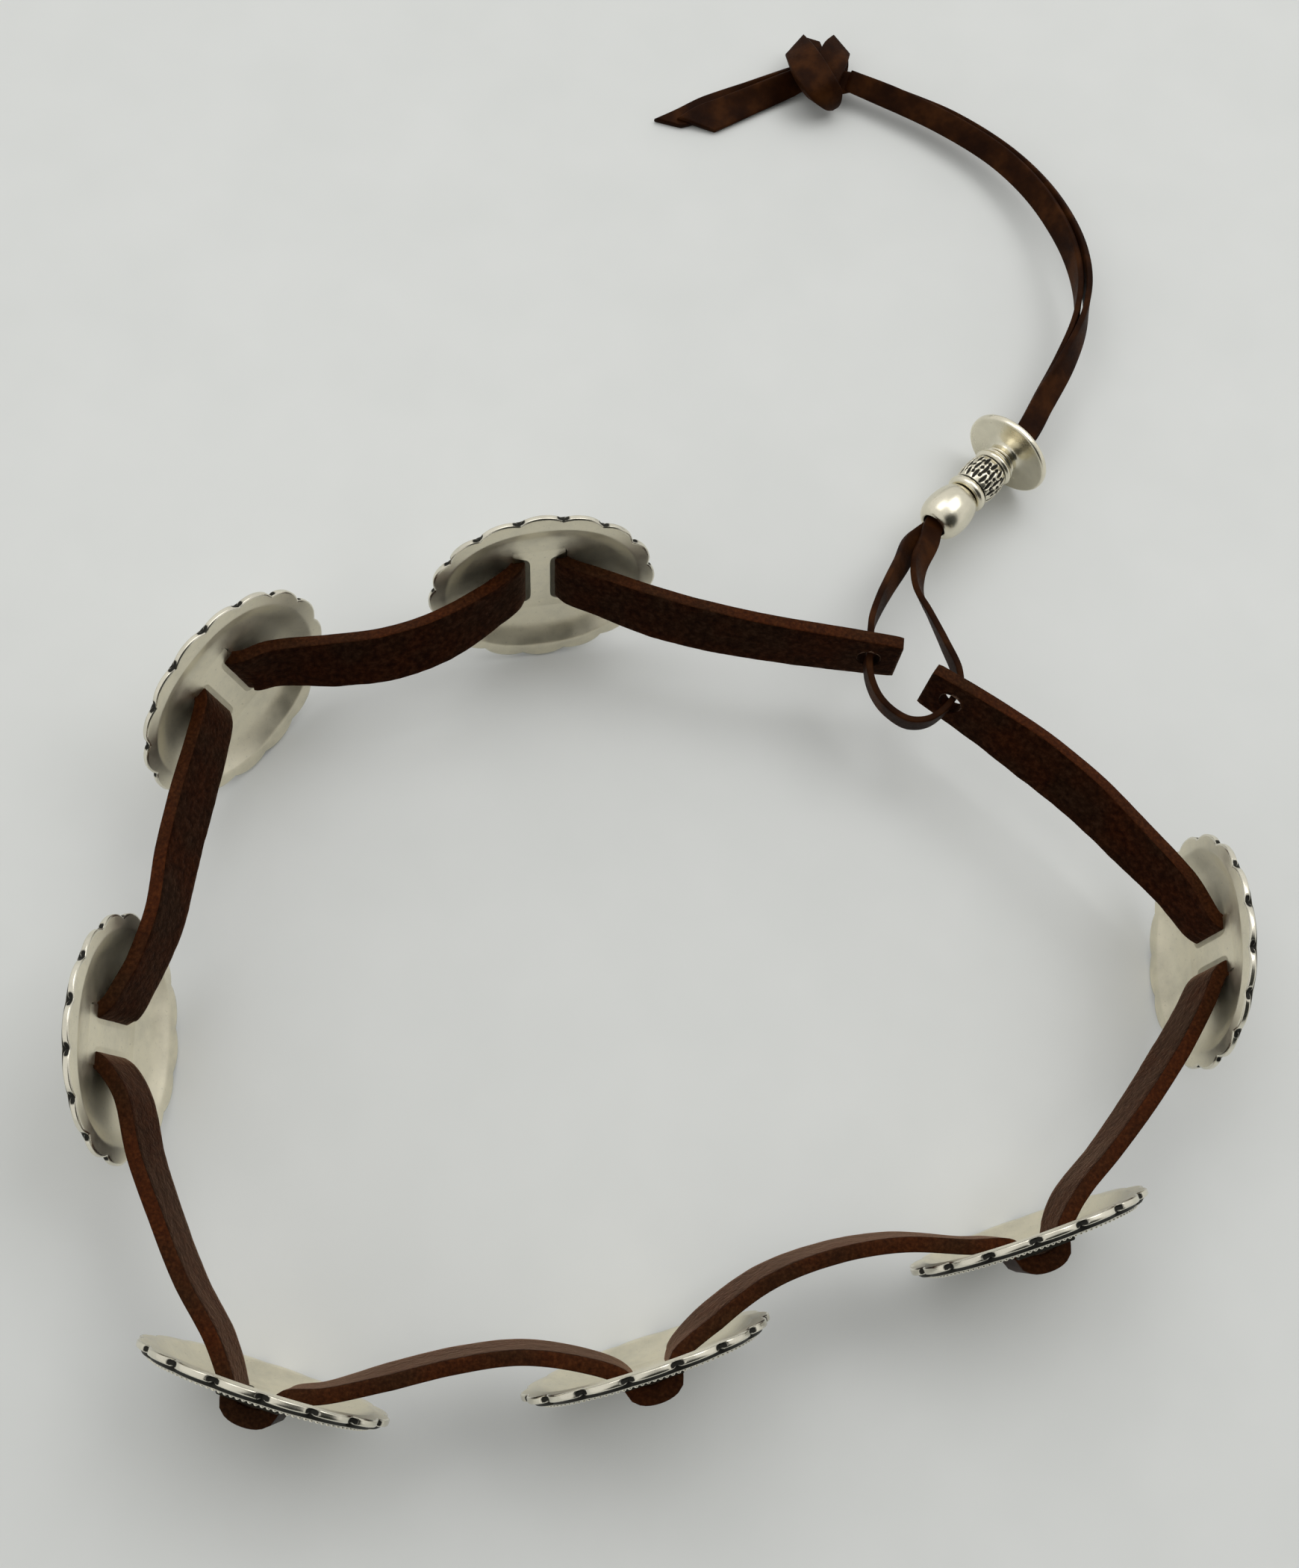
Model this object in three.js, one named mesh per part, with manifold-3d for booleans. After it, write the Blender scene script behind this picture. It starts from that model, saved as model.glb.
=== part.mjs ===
import * as THREE from 'three';
import { mergeVertices } from 'three/addons/utils/BufferGeometryUtils.js';
import Module from 'manifold-3d';

// A concho belt that stands on its edge in an open loop. Seven oval conchos are threaded on one
// leather strap, which comes up through each concho behind its bar, folds over the bar and goes
// back down. A flat lace joins the strap's two ends, runs doubled through two beads and a disc,
// and ends in a knot with two loose tips. Millimetres, +Z up, the floor at z = 0.

const CLEARANCE = 0.3;               // between pieces that touch

// Loop of the belt, seen from above
const LOOP_LENGTH = 280;
const LOOP_WIDTH = 236;

// Conchos
const CONCHO_WIDTH = 60;             // along the belt
const CONCHO_HEIGHT = 55.6;          // across the belt
const SCALLOPS = 16;                 // one is centred on the concho's top
const SCALLOP_DEPTH = 1.3;
const FLANGE_THICKNESS = 2;
const FLANGE_WIDTH = 4;              // flat band behind the scallops
const GROOVE_DEPTH = 0.6;            // ring sunk between the scallops and the beaded ring
const BEADED_RING_HEIGHT = 0.9;      // above the flange's front
const DISH_DEPTH = 4.1;              // bar's back in front of the flange's back
const BAR_WIDTH = 5.8;
const BAR_THICKNESS = 2.2;
const SLOT_SIDE_CLEARANCE = 0.8;     // strap's edge to the end of the slot
const SLOT_SPARE_WIDTH = 4.9;        // left beside the strap for its turn

// Strap
const STRAP_WIDTH = 16;
const STRAP_THICKNESS = 3.6;
const FOLD_RISE = 2.1;               // strap's inside above the bar's front, at the top of the fold
const TURN_OUT = 1.9;                // how far the strap swings out as it leaves the bar
const TURN_BACK = 1.7;               // and how far behind the bar's back it is by then
const STRAP_END_HEIGHT = 27;
const LACE_HOLE_DIAMETER = 6.4;
const LACE_HOLE_INSET = 7.8;         // from the strap's end

// Lace
const LACE_WIDTH = 7;
const LACE_THICKNESS = 1.7;

// Beads on the lace
const BEAD_BORE = 7.3;
const SMOOTH_BEAD_LENGTH = 13.4;
const SMOOTH_BEAD_DIAMETER = 13.4;
const PATTERNED_BEAD_LENGTH = 15.6;
const PATTERNED_BEAD_DIAMETER = 12.6;
const COLLAR_DIAMETER = 12;
const COLLAR_LENGTH = 3;
const LEAF_COUNT = 10;               // raised leaves round the patterned bead
const LEAF_HEIGHT = 0.5;
const DISC_DIAMETER = 25.8;
const DISC_THICKNESS = 2.4;
const DISC_NECK_DIAMETER = 9.6;
const DISC_NECK_LENGTH = 3.4;

// Knot and tips
const KNOT_HEIGHT = 11;
const TIP_CUT = 9;                   // length of each tip's slanting cut
const KNOT = {
  x: -16.3,
  y: 302.7,
  width: 18.4,
  thickness: 12.4,
  wrapLength: 18.4,
  wrapTurn: 29,                      // degrees
  foldLean: -20,
};
const KNOT_FOLDS = [
  { across: -0.52, back: -0.24 },
  { across: -0.48, back: 0.08 },
  { across: -0.17, back: 0.43 },
  { across: -0.02, back: 0.35 },
  { across: 0.23, back: 0.43 },
  { across: 0.49, back: 0.11 },
  { across: 0.46, back: -0.24 },
];
const TIPS = {
  long: { from: { x: -24.7, y: 303.1, z: 3.4 }, to: { x: -62.2, y: 279.7, z: 0.3 } },
  short: { from: { x: -23.7, y: 300.7, z: 1.6 }, to: { x: -44.7, y: 280.9, z: 0 } },
};

// Places of the conchos. x and y are shares of LOOP_LENGTH and LOOP_WIDTH from the loop's middle.
// facing is the direction that the front looks to, lean tips the top outward where it is
// negative, and turn rolls the concho in its own plane, all in degrees.
const CONCHOS = [
  { x: -0.2004, y: 0.4340, facing: 113.0, lean: -13.9, turn: 0 },
  { x: -0.4424, y: 0.2280, facing: 153.5, lean: -16.5, turn: 7.4 },
  { x: -0.4404, y: -0.1580, facing: 191.7, lean: -17.3, turn: -5.8 },
  { x: -0.2474, y: -0.4410, facing: 265.4, lean: -8.1, turn: 3.5 },
  { x: 0.0476, y: -0.3360, facing: 301.5, lean: -9.8, turn: 4.9 },
  { x: 0.3426, y: -0.1280, facing: 302.8, lean: -7.4, turn: 2.9 },
  { x: 0.4566, y: 0.2030, facing: 12.5, lean: -6.7, turn: -1.6 },
];

// Where the strap starts and ends, as shares like those above.
const STRAP_START = { x: 0.1396, y: 0.4590, lean: -4 };
const STRAP_END = { x: 0.1716, y: 0.4370, lean: -8 };

// Route of the strap between its start, the seven bars and its end. at is a share of the straight
// line from one to the next, bow a share of that line's length towards the middle of the loop,
// and lean is as for a concho.
const SPANS = [
  [
    { at: 0.17, bow: 0.014, lean: -9 },
    { at: 0.33, bow: 0.027, lean: -12 },
    { at: 0.5, bow: 0.033, lean: -16 },
    { at: 0.67, bow: 0.026, lean: -18 },
    { at: 0.83, bow: 0.003, lean: -13 },
  ],
  [
    { at: 0.17, bow: 0.031, lean: -13 },
    { at: 0.33, bow: 0.07, lean: -21 },
    { at: 0.5, bow: 0.073, lean: -24 },
    { at: 0.67, bow: 0.035, lean: -22 },
    { at: 0.83, bow: -0.019, lean: -13 },
  ],
  [
    { at: 0.17, bow: -0.002, lean: -20 },
    { at: 0.33, bow: 0.005, lean: -22 },
    { at: 0.5, bow: 0.017, lean: -21 },
    { at: 0.67, bow: 0.035, lean: -15 },
    { at: 0.83, bow: 0.022, lean: -9 },
  ],
  [
    { at: 0.17, bow: -0.004, lean: -12 },
    { at: 0.33, bow: -0.031, lean: -11 },
    { at: 0.5, bow: -0.042, lean: -9 },
    { at: 0.67, bow: -0.046, lean: -8 },
    { at: 0.83, bow: -0.033, lean: -9 },
  ],
  [
    { at: 0.17, bow: -0.006, lean: -7 },
    { at: 0.33, bow: 0.026, lean: -12 },
    { at: 0.5, bow: 0.057, lean: -12 },
    { at: 0.67, bow: 0.067, lean: -8 },
    { at: 0.83, bow: 0.035, lean: -6 },
  ],
  [
    { at: 0.17, bow: 0.071, lean: -2 },
    { at: 0.33, bow: 0.126, lean: -3 },
    { at: 0.5, bow: 0.135, lean: -2 },
    { at: 0.67, bow: 0.11, lean: -3 },
    { at: 0.83, bow: 0.05, lean: -6 },
  ],
  [
    { at: 0.17, bow: -0.017, lean: -4 },
    { at: 0.33, bow: -0.034, lean: -4 },
    { at: 0.5, bow: -0.044, lean: -6 },
    { at: 0.67, bow: -0.045, lean: -7 },
    { at: 0.83, bow: -0.038, lean: -5 },
  ],
  [
    { at: 0.17, bow: -0.066, lean: -2 },
    { at: 0.33, bow: -0.07, lean: -12 },
    { at: 0.5, bow: -0.072, lean: -22 },
    { at: 0.67, bow: -0.058, lean: -24 },
    { at: 0.83, bow: -0.034, lean: -16 },
  ],
];

// Route of the lace, chosen by hand: x, y and z in millimetres, tilt of its width from upright
// towards the right-hand side of the way it runs, in degrees, and its width as a share of
// LACE_WIDTH, which is less where a hole or a bead gathers it.
const LACE_FROM_START_HOLE = [
  { x: 31.3, y: 107.7, z: 26.9, tilt: 0, width: 0.76 },
  { x: 31.0, y: 110.7, z: 26.7, tilt: -2, width: 0.76 },
  { x: 30.5, y: 116.1, z: 26.3, tilt: -10, width: 0.95 },
  { x: 31.5, y: 122.9, z: 24.9, tilt: -18, width: 0.9 },
  { x: 33.4, y: 130.7, z: 22.5, tilt: -28, width: 0.85 },
  { x: 35.7, y: 138.9, z: 19.6, tilt: -40, width: 0.85 },
  { x: 37.9, y: 147.9, z: 15.8, tilt: -60, width: 0.85 },
];
const LACE_FROM_END_HOLE = [
  { x: 31.4, y: 107.4, z: 27.0, tilt: 0, width: 0.76 },
  { x: 31.7, y: 104.2, z: 27.0, tilt: 0, width: 0.76 },
  { x: 33.1, y: 100.2, z: 26.3, tilt: 4, width: 0.95 },
  { x: 36.3, y: 95.9, z: 25.4, tilt: 6, width: 1 },
  { x: 40.5, y: 93.0, z: 25.0, tilt: 6, width: 1 },
  { x: 45.5, y: 91.6, z: 24.9, tilt: 4, width: 1 },
  { x: 50.3, y: 92.9, z: 25.8, tilt: 2, width: 0.95 },
  { x: 54.0, y: 97.1, z: 27.0, tilt: 0, width: 0.76 },
  { x: 55.3, y: 100.3, z: 27.0, tilt: 0, width: 0.76 },
  { x: 56.4, y: 103.4, z: 26.9, tilt: 0, width: 0.76 },
  { x: 55.2, y: 108.3, z: 26.7, tilt: -2, width: 0.95 },
  { x: 50.9, y: 115.9, z: 25.4, tilt: -8, width: 0.95 },
  { x: 45.9, y: 124.7, z: 23.0, tilt: -16, width: 0.9 },
  { x: 41.7, y: 132.3, z: 20.6, tilt: -26, width: 0.9 },
  { x: 40.7, y: 140.7, z: 18.9, tilt: -44, width: 0.9 },
  { x: 42.4, y: 149.5, z: 16.7, tilt: -72, width: 0.85 },
];
// The stretch where the two halves of the lace run face to face. spread opens the gap between
// them a little, in millimetres.
const LACE_PAIR = [
  { x: 43.3, y: 156.7, z: 14.0, tilt: -90, width: 0.8, spread: 0 },
  { x: 51.8, y: 171.4, z: 13.4, tilt: -90, width: 0.8, spread: 0 },
  { x: 60.1, y: 185.9, z: 12.9, tilt: -90, width: 0.8, spread: 0 },
  { x: 64.0, y: 193.1, z: 12.9, tilt: -82, width: 0.9, spread: 0.4 },
  { x: 67.5, y: 205.4, z: 13.2, tilt: -64, width: 1, spread: 0.6 },
  { x: 71.2, y: 219.0, z: 14.2, tilt: -42, width: 1, spread: 0.8 },
  { x: 73.3, y: 232.7, z: 15.0, tilt: -20, width: 1, spread: 0.9 },
  { x: 72.5, y: 244.7, z: 15.0, tilt: -2, width: 1, spread: 0.8 },
  { x: 68.9, y: 256.3, z: 14.2, tilt: 14, width: 1, spread: 0.7 },
  { x: 62.7, y: 267.9, z: 12.6, tilt: 28, width: 1, spread: 0.6 },
  { x: 53.7, y: 279.5, z: 10.6, tilt: 39, width: 1, spread: 0.6 },
  { x: 41.3, y: 289.9, z: 8.6, tilt: 47, width: 1, spread: 0.6 },
  { x: 24.1, y: 298.1, z: 7.2, tilt: 51, width: 1, spread: 0.3 },
  { x: 5.7, y: 302.9, z: 6.4, tilt: 51, width: 1, spread: 0 },
  { x: -8.6, y: 305.6, z: 6.4, tilt: 50, width: 0.9, spread: 0 },
];

const UP = new THREE.Vector3(0, 0, 1);
const silver = new THREE.MeshStandardMaterial({ color: 0xc9c5ba, roughness: 0.32, metalness: 1 });
const strapLeather = new THREE.MeshStandardMaterial({ color: 0x4a2a1f, roughness: 0.7, metalness: 0 });
const laceLeather = new THREE.MeshStandardMaterial({ color: 0x55271a, roughness: 0.65, metalness: 0 });

const wasm = await Module();
wasm.setup();

function toSolid(geometry) {
  const bare = geometry.clone();
  for (const name of Object.keys(bare.attributes)) {
    if (name !== 'position') bare.deleteAttribute(name);
  }
  const merged = mergeVertices(bare, 1e-4);
  return new wasm.Manifold(new wasm.Mesh({
    numProp: 3,
    vertProperties: new Float32Array(merged.attributes.position.array),
    triVerts: new Uint32Array(merged.index.array),
  }));
}

function toGeometry(solid) {
  const mesh = solid.getMesh();
  const geometry = new THREE.BufferGeometry();
  geometry.setAttribute('position', new THREE.BufferAttribute(new Float32Array(mesh.vertProperties), 3));
  geometry.setIndex(new THREE.BufferAttribute(new Uint32Array(mesh.triVerts), 1));
  geometry.computeVertexNormals();
  return geometry;
}

const solidMesh = (name, solid, material) => {
  const mesh = new THREE.Mesh(toGeometry(solid), material);
  mesh.name = name;
  return mesh;
};

// A band swept along stations, each with a point, the way it runs, and its width direction.
class BandPath extends THREE.Curve {
  constructor(stations) {
    super();
    this.stations = stations;
  }

  getSpacedPoints() {
    return this.stations.map((station) => station.point);
  }

  computeFrenetFrames() {
    const frames = { tangents: [], normals: [], binormals: [] };
    for (const { along, across, width } of this.stations) {
      const binormal = across.clone().addScaledVector(along, -across.dot(along)).normalize();
      frames.tangents.push(along);
      frames.normals.push(new THREE.Vector3().crossVectors(binormal, along));
      frames.binormals.push(binormal.multiplyScalar(width));
    }
    return frames;
  }
}

function sweepBand(stations, outline) {
  const steps = stations.length - 1;
  return new THREE.ExtrudeGeometry(outline, { steps, extrudePath: new BandPath(stations) });
}

// Stations along a smooth curve through the rows, with the given number of steps in each gap.
function smoothStations(rows, stepsIn) {
  const curve = new THREE.CatmullRomCurve3(rows.map((row) => row.point), false, 'centripetal');
  const gaps = rows.length - 1;
  const stations = [];
  for (let gap = 0; gap < gaps; gap += 1) {
    const steps = stepsIn(rows[gap], rows[gap + 1]);
    const last = gap === gaps - 1 ? steps : steps - 1;
    for (let step = 0; step <= last; step += 1) {
      const part = step / steps;
      const t = (gap + part) / gaps;
      stations.push({
        point: curve.getPoint(t),
        along: curve.getTangent(t),
        across: rows[gap].across.clone().lerp(rows[gap + 1].across, part).normalize(),
        width: THREE.MathUtils.lerp(rows[gap].width, rows[gap + 1].width, part),
      });
    }
  }
  return stations;
}

const slotHalfHeight = STRAP_WIDTH / 2 + SLOT_SIDE_CLEARANCE;
const slotReach = BAR_WIDTH / 2 + CLEARANCE + STRAP_THICKNESS + SLOT_SPARE_WIDTH;
const strapOffset = BAR_WIDTH / 2 + CLEARANCE + STRAP_THICKNESS / 2;

// One ring of a concho: from the slots' outline (share 0) to the flange's oval (share 1), at one
// height in front of the flange's back. Only the outermost rings are scalloped.
function conchoRing(share, height, count, scalloped) {
  const points = [];
  const cornering = 2 / 6;
  for (let i = 0; i < count; i += 1) {
    const angle = (2 * Math.PI * i) / count;
    const c = Math.cos(angle);
    const s = Math.sin(angle);
    const phase = ((angle - Math.PI / 2) * SCALLOPS) / 2;
    const fromCrest = Math.abs(Math.asin(Math.sin(phase))) / (Math.PI / 2);
    const notch = scalloped ? SCALLOP_DEPTH * fromCrest ** 2 : 0;
    const outer = new THREE.Vector2((CONCHO_WIDTH / 2 - notch) * c, (CONCHO_HEIGHT / 2 - notch) * s);
    const inner = new THREE.Vector2(
      slotReach * Math.sign(c) * Math.abs(c) ** cornering,
      slotHalfHeight * Math.sign(s) * Math.abs(s) ** cornering,
    );
    const at = inner.lerp(outer, share);
    points.push(new THREE.Vector3(at.x, at.y, height));
  }
  return points;
}

// Joins rings into one closed skin. A ring may have as many points as its neighbour, twice as
// many or half as many.
function stitchRings(rings) {
  const positions = [];
  const addTriangle = (a, b, c) => positions.push(...a.toArray(), ...b.toArray(), ...c.toArray());
  rings.forEach((from, index) => {
    const to = rings[(index + 1) % rings.length];
    const steps = Math.max(from.length, to.length);
    const pick = (ring, i) => ring[Math.floor((i * ring.length) / steps) % ring.length];
    for (let i = 0; i < steps; i += 1) {
      const a = pick(from, i);
      const b = pick(from, i + 1);
      const c = pick(to, i);
      const d = pick(to, i + 1);
      if (a !== b) addTriangle(a, b, c);
      if (c !== d) addTriangle(b, d, c);
    }
  });
  const geometry = new THREE.BufferGeometry();
  geometry.setAttribute('position', new THREE.BufferAttribute(new Float32Array(positions), 3));
  return geometry;
}

// The concho in its own place: x along the belt, y up, z out of its front.
function makeConcho() {
  const fine = SCALLOPS * 4;
  const coarse = SCALLOPS * 2;
  const flangeReach = CONCHO_WIDTH / 2 - slotReach;
  const inward = (distance) => 1 - distance / flangeReach;
  const front = FLANGE_THICKNESS;
  const domeFront = DISH_DEPTH + BAR_THICKNESS;
  const rings = [
    conchoRing(1, 0, fine, true),
    conchoRing(1, front, fine, true),
    conchoRing(inward(FLANGE_WIDTH), front + 0.2, coarse, false),
    conchoRing(inward(FLANGE_WIDTH + 1), front - GROOVE_DEPTH, coarse, false),
    conchoRing(inward(FLANGE_WIDTH + 1.8), front + BEADED_RING_HEIGHT, coarse, false),
    conchoRing(inward(FLANGE_WIDTH + 3.2), front + BEADED_RING_HEIGHT, coarse, false),
    conchoRing(0.45, THREE.MathUtils.lerp(front, domeFront, 0.78), coarse, false),
    conchoRing(0, domeFront, coarse, false),
    conchoRing(0, DISH_DEPTH, coarse, false),
    conchoRing(0.45, DISH_DEPTH * 0.72, coarse, false),
    conchoRing(inward(FLANGE_WIDTH), 0, coarse, false),
  ];
  const bar = new THREE.BoxGeometry(BAR_WIDTH, 2 * slotHalfHeight + 2, BAR_THICKNESS);
  bar.translate(0, 0, DISH_DEPTH + BAR_THICKNESS / 2);
  return toSolid(stitchRings(rings)).add(toSolid(bar));
}

// Directions of a piece of the belt that faces outward: along the belt, up across it, and out.
function facingFrame({ facing, lean, turn }) {
  const yaw = THREE.MathUtils.degToRad(facing);
  const tip = THREE.MathUtils.degToRad(lean);
  const roll = THREE.MathUtils.degToRad(turn);
  const level = new THREE.Vector3(Math.cos(yaw), Math.sin(yaw), 0);
  const side = new THREE.Vector3(-Math.sin(yaw), Math.cos(yaw), 0);
  const out = level.clone().multiplyScalar(Math.cos(tip)).addScaledVector(UP, Math.sin(tip));
  const rise = UP.clone().multiplyScalar(Math.cos(tip)).addScaledVector(level, -Math.sin(tip));
  return {
    out,
    along: side.clone().multiplyScalar(Math.cos(roll)).addScaledVector(rise, Math.sin(roll)),
    up: rise.clone().multiplyScalar(Math.cos(roll)).addScaledVector(side, -Math.sin(roll)),
  };
}

function lowestPoint(geometry, rotation) {
  const position = geometry.attributes.position;
  const point = new THREE.Vector3();
  let lowest = Infinity;
  for (let i = 0; i < position.count; i += 1) {
    point.fromBufferAttribute(position, i).applyMatrix4(rotation);
    lowest = Math.min(lowest, point.z);
  }
  return lowest;
}

// Places a copy of the concho so that its rim stands on the floor.
function placeConcho(place, index, solid) {
  const frame = facingFrame(place);
  const rotation = new THREE.Matrix4().makeBasis(frame.along, frame.up, frame.out);
  const mesh = solidMesh(`concho_${index + 1}`, solid, silver);
  mesh.quaternion.setFromRotationMatrix(rotation);
  const height = -lowestPoint(mesh.geometry, rotation);
  mesh.position.set(place.x * LOOP_LENGTH, place.y * LOOP_WIDTH, height);
  return { mesh, frame, origin: mesh.position.clone() };
}

const inConcho = ({ origin, frame }, along, out) => origin.clone()
  .addScaledVector(frame.along, along)
  .addScaledVector(frame.out, out);

// The strap's way round one bar: in from behind, over the bar's front and back again.
function foldOverBar(concho) {
  const rows = [];
  const across = concho.frame.up;
  const add = (along, out, steps) => {
    rows.push({ point: inConcho(concho, along, out), across, width: 1, steps });
  };
  const barFront = DISH_DEPTH + BAR_THICKNESS;
  const rise = FOLD_RISE + STRAP_THICKNESS / 2;
  const arcSteps = 8;
  add(-strapOffset - TURN_OUT, DISH_DEPTH - TURN_BACK, 1);
  add(-strapOffset - TURN_OUT * 0.2, DISH_DEPTH + BAR_THICKNESS * 0.4, 1);
  for (let i = 0; i <= arcSteps; i += 1) {
    const angle = Math.PI * (1 - i / arcSteps);
    add(strapOffset * Math.cos(angle), barFront + rise * Math.sin(angle), 1);
  }
  add(strapOffset + TURN_OUT * 0.2, DISH_DEPTH + BAR_THICKNESS * 0.4, 1);
  add(strapOffset + TURN_OUT, DISH_DEPTH - TURN_BACK, 2);
  return rows;
}

// Rows of the strap between two points. Lean tips the strap's top outward where negative.
function spanRows(from, to, table) {
  const line = to.clone().sub(from);
  const length = Math.hypot(line.x, line.y);
  const level = new THREE.Vector3(line.x, line.y, 0).divideScalar(length);
  const inward = new THREE.Vector3().crossVectors(UP, level);
  const points = table.map((row) => from.clone()
    .addScaledVector(line, row.at)
    .addScaledVector(inward, row.bow * length));
  return points.map((point, i) => {
    const before = i > 0 ? points[i - 1] : from;
    const after = i < points.length - 1 ? points[i + 1] : to;
    const run = after.clone().sub(before).setZ(0).normalize();
    const outward = new THREE.Vector3().crossVectors(run, UP);
    return { point, across: leanAcross(outward, table[i].lean), width: 1, steps: 2 };
  });
}

function leanAcross(outward, lean) {
  const tip = THREE.MathUtils.degToRad(lean);
  return UP.clone().multiplyScalar(Math.cos(tip)).addScaledVector(outward, -Math.sin(tip));
}

function strapEndRow(end, towards) {
  const point = new THREE.Vector3(end.x * LOOP_LENGTH, end.y * LOOP_WIDTH, STRAP_END_HEIGHT);
  const run = towards.clone().sub(point).setZ(0).normalize();
  const outward = new THREE.Vector3().crossVectors(run, UP);
  return { point, outward, lean: end.lean, width: 1, steps: 2 };
}

// All the strap's stations from its start to its end.
function strapStations(conchos) {
  const bars = conchos.map((concho) => inConcho(concho, 0, DISH_DEPTH));
  const start = strapEndRow(STRAP_START, bars[0]);
  const end = strapEndRow(STRAP_END, bars[bars.length - 1]);
  start.across = leanAcross(start.outward, start.lean);
  end.across = leanAcross(end.outward.clone().negate(), end.lean);
  const stops = [start.point, ...bars, end.point];
  const rows = [start];
  SPANS.forEach((table, i) => {
    rows.push(...spanRows(stops[i], stops[i + 1], table));
    if (i < conchos.length) rows.push(...foldOverBar(conchos[i]));
  });
  rows.push(end);
  return smoothStations(rows, (row) => row.steps);
}

// A hole through the strap's thickness at one end, clear of both faces.
function laceHole(stations, fromEnd) {
  const order = fromEnd ? [...stations].reverse() : stations;
  let left = LACE_HOLE_INSET;
  let index = 0;
  while (left > order[index].point.distanceTo(order[index + 1].point)) {
    left -= order[index].point.distanceTo(order[index + 1].point);
    index += 1;
  }
  const from = order[index];
  const gap = order[index + 1].point.clone().sub(from.point);
  const centre = from.point.clone().addScaledVector(gap.normalize(), left);
  const through = new THREE.Vector3().crossVectors(from.across, from.along).normalize();
  const sides = 16;
  const hole = new THREE.CylinderGeometry(
    LACE_HOLE_DIAMETER / 2, LACE_HOLE_DIAMETER / 2, STRAP_THICKNESS * 3, sides,
  );
  hole.applyQuaternion(new THREE.Quaternion().setFromUnitVectors(new THREE.Vector3(0, 1, 0), through));
  hole.translate(centre.x, centre.y, centre.z);
  return toSolid(hole);
}

function makeStrap(conchos) {
  const t = STRAP_THICKNESS / 2;
  const w = STRAP_WIDTH / 2;
  const outline = new THREE.Shape([
    new THREE.Vector2(-t, -w),
    new THREE.Vector2(t, -w),
    new THREE.Vector2(t, w),
    new THREE.Vector2(-t, w),
  ]);
  const stations = strapStations(conchos);
  return toSolid(sweepBand(stations, outline))
    .subtract(laceHole(stations, false))
    .subtract(laceHole(stations, true));
}

// Lace section with eight sides: flat faces and eased edges.
function laceOutline() {
  const t = LACE_THICKNESS / 2;
  const w = LACE_WIDTH / 2;
  const ease = LACE_THICKNESS * 0.3;
  return new THREE.Shape([
    new THREE.Vector2(-t, -w + ease),
    new THREE.Vector2(-t + ease, -w),
    new THREE.Vector2(t - ease, -w),
    new THREE.Vector2(t, -w + ease),
    new THREE.Vector2(t, w - ease),
    new THREE.Vector2(t - ease, w),
    new THREE.Vector2(-t + ease, w),
    new THREE.Vector2(-t, w - ease),
  ]);
}

// Turns rows of the lace's route into points with a width direction. side is 1 for the half that
// lies uppermost in the beads and -1 for the other.
function laceRows(own, side) {
  const table = [...own, ...LACE_PAIR];
  const points = table.map((row) => new THREE.Vector3(row.x, row.y, row.z));
  return table.map((row, i) => {
    const before = points[Math.max(i - 1, 0)];
    const after = points[Math.min(i + 1, points.length - 1)];
    const along = after.clone().sub(before).normalize();
    const right = new THREE.Vector3().crossVectors(along, UP).normalize();
    const tilt = THREE.MathUtils.degToRad(row.tilt);
    const across = UP.clone().multiplyScalar(Math.cos(tilt)).addScaledVector(right, Math.sin(tilt));
    const face = new THREE.Vector3().crossVectors(along, across).normalize();
    const paired = i >= own.length;
    const shift = paired ? (LACE_THICKNESS + CLEARANCE + row.spread) / 2 : 0;
    const point = points[i].clone().addScaledVector(face, side * shift);
    return { point, across, width: row.width, steps: paired ? 2 : 1 };
  });
}

function makeLace(own, side) {
  const stations = smoothStations(laceRows(own, side), (row) => row.steps);
  return toSolid(sweepBand(stations, laceOutline()));
}

// A bead turned from a profile of [distance along, radius] pairs, with the lace's bore through it.
function turnedBead(profile, sides) {
  const outline = profile.map(([along, radius]) => new THREE.Vector2(radius, along));
  const first = profile[0][0];
  const last = profile[profile.length - 1][0];
  const bore = BEAD_BORE / 2;
  const closed = [new THREE.Vector2(bore, first), ...outline, new THREE.Vector2(bore, last)];
  closed.push(closed[0].clone());
  return toSolid(new THREE.LatheGeometry(closed, sides));
}

function smoothBead() {
  const radius = SMOOTH_BEAD_DIAMETER / 2;
  const length = SMOOTH_BEAD_LENGTH;
  return turnedBead([
    [0, radius * 0.7],
    [length * 0.1, radius * 0.86],
    [length * 0.3, radius * 0.98],
    [length * 0.5, radius],
    [length * 0.72, radius * 0.95],
    [length * 0.9, radius * 0.82],
    [length, radius * 0.68],
  ], 16);
}

function patternedBead() {
  const radius = PATTERNED_BEAD_DIAMETER / 2;
  const collar = COLLAR_DIAMETER / 2;
  const length = PATTERNED_BEAD_LENGTH;
  const waist = (COLLAR_DIAMETER / 2 + BEAD_BORE / 2) / 2;
  const barrelEnd = length - COLLAR_LENGTH;
  const barrel = (share) => THREE.MathUtils.lerp(COLLAR_LENGTH, barrelEnd, share);
  const body = turnedBead([
    [0, waist],
    [COLLAR_LENGTH * 0.35, collar],
    [COLLAR_LENGTH * 0.8, collar],
    [COLLAR_LENGTH, collar - 0.8],
    [barrel(0.25), radius - LEAF_HEIGHT],
    [barrel(0.75), radius - LEAF_HEIGHT],
    [barrelEnd, collar - 0.8],
    [barrelEnd + COLLAR_LENGTH * 0.2, collar],
    [barrelEnd + COLLAR_LENGTH * 0.65, collar],
    [length, waist],
  ], 16);
  return addLeaves(body, radius, barrel);
}

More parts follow.
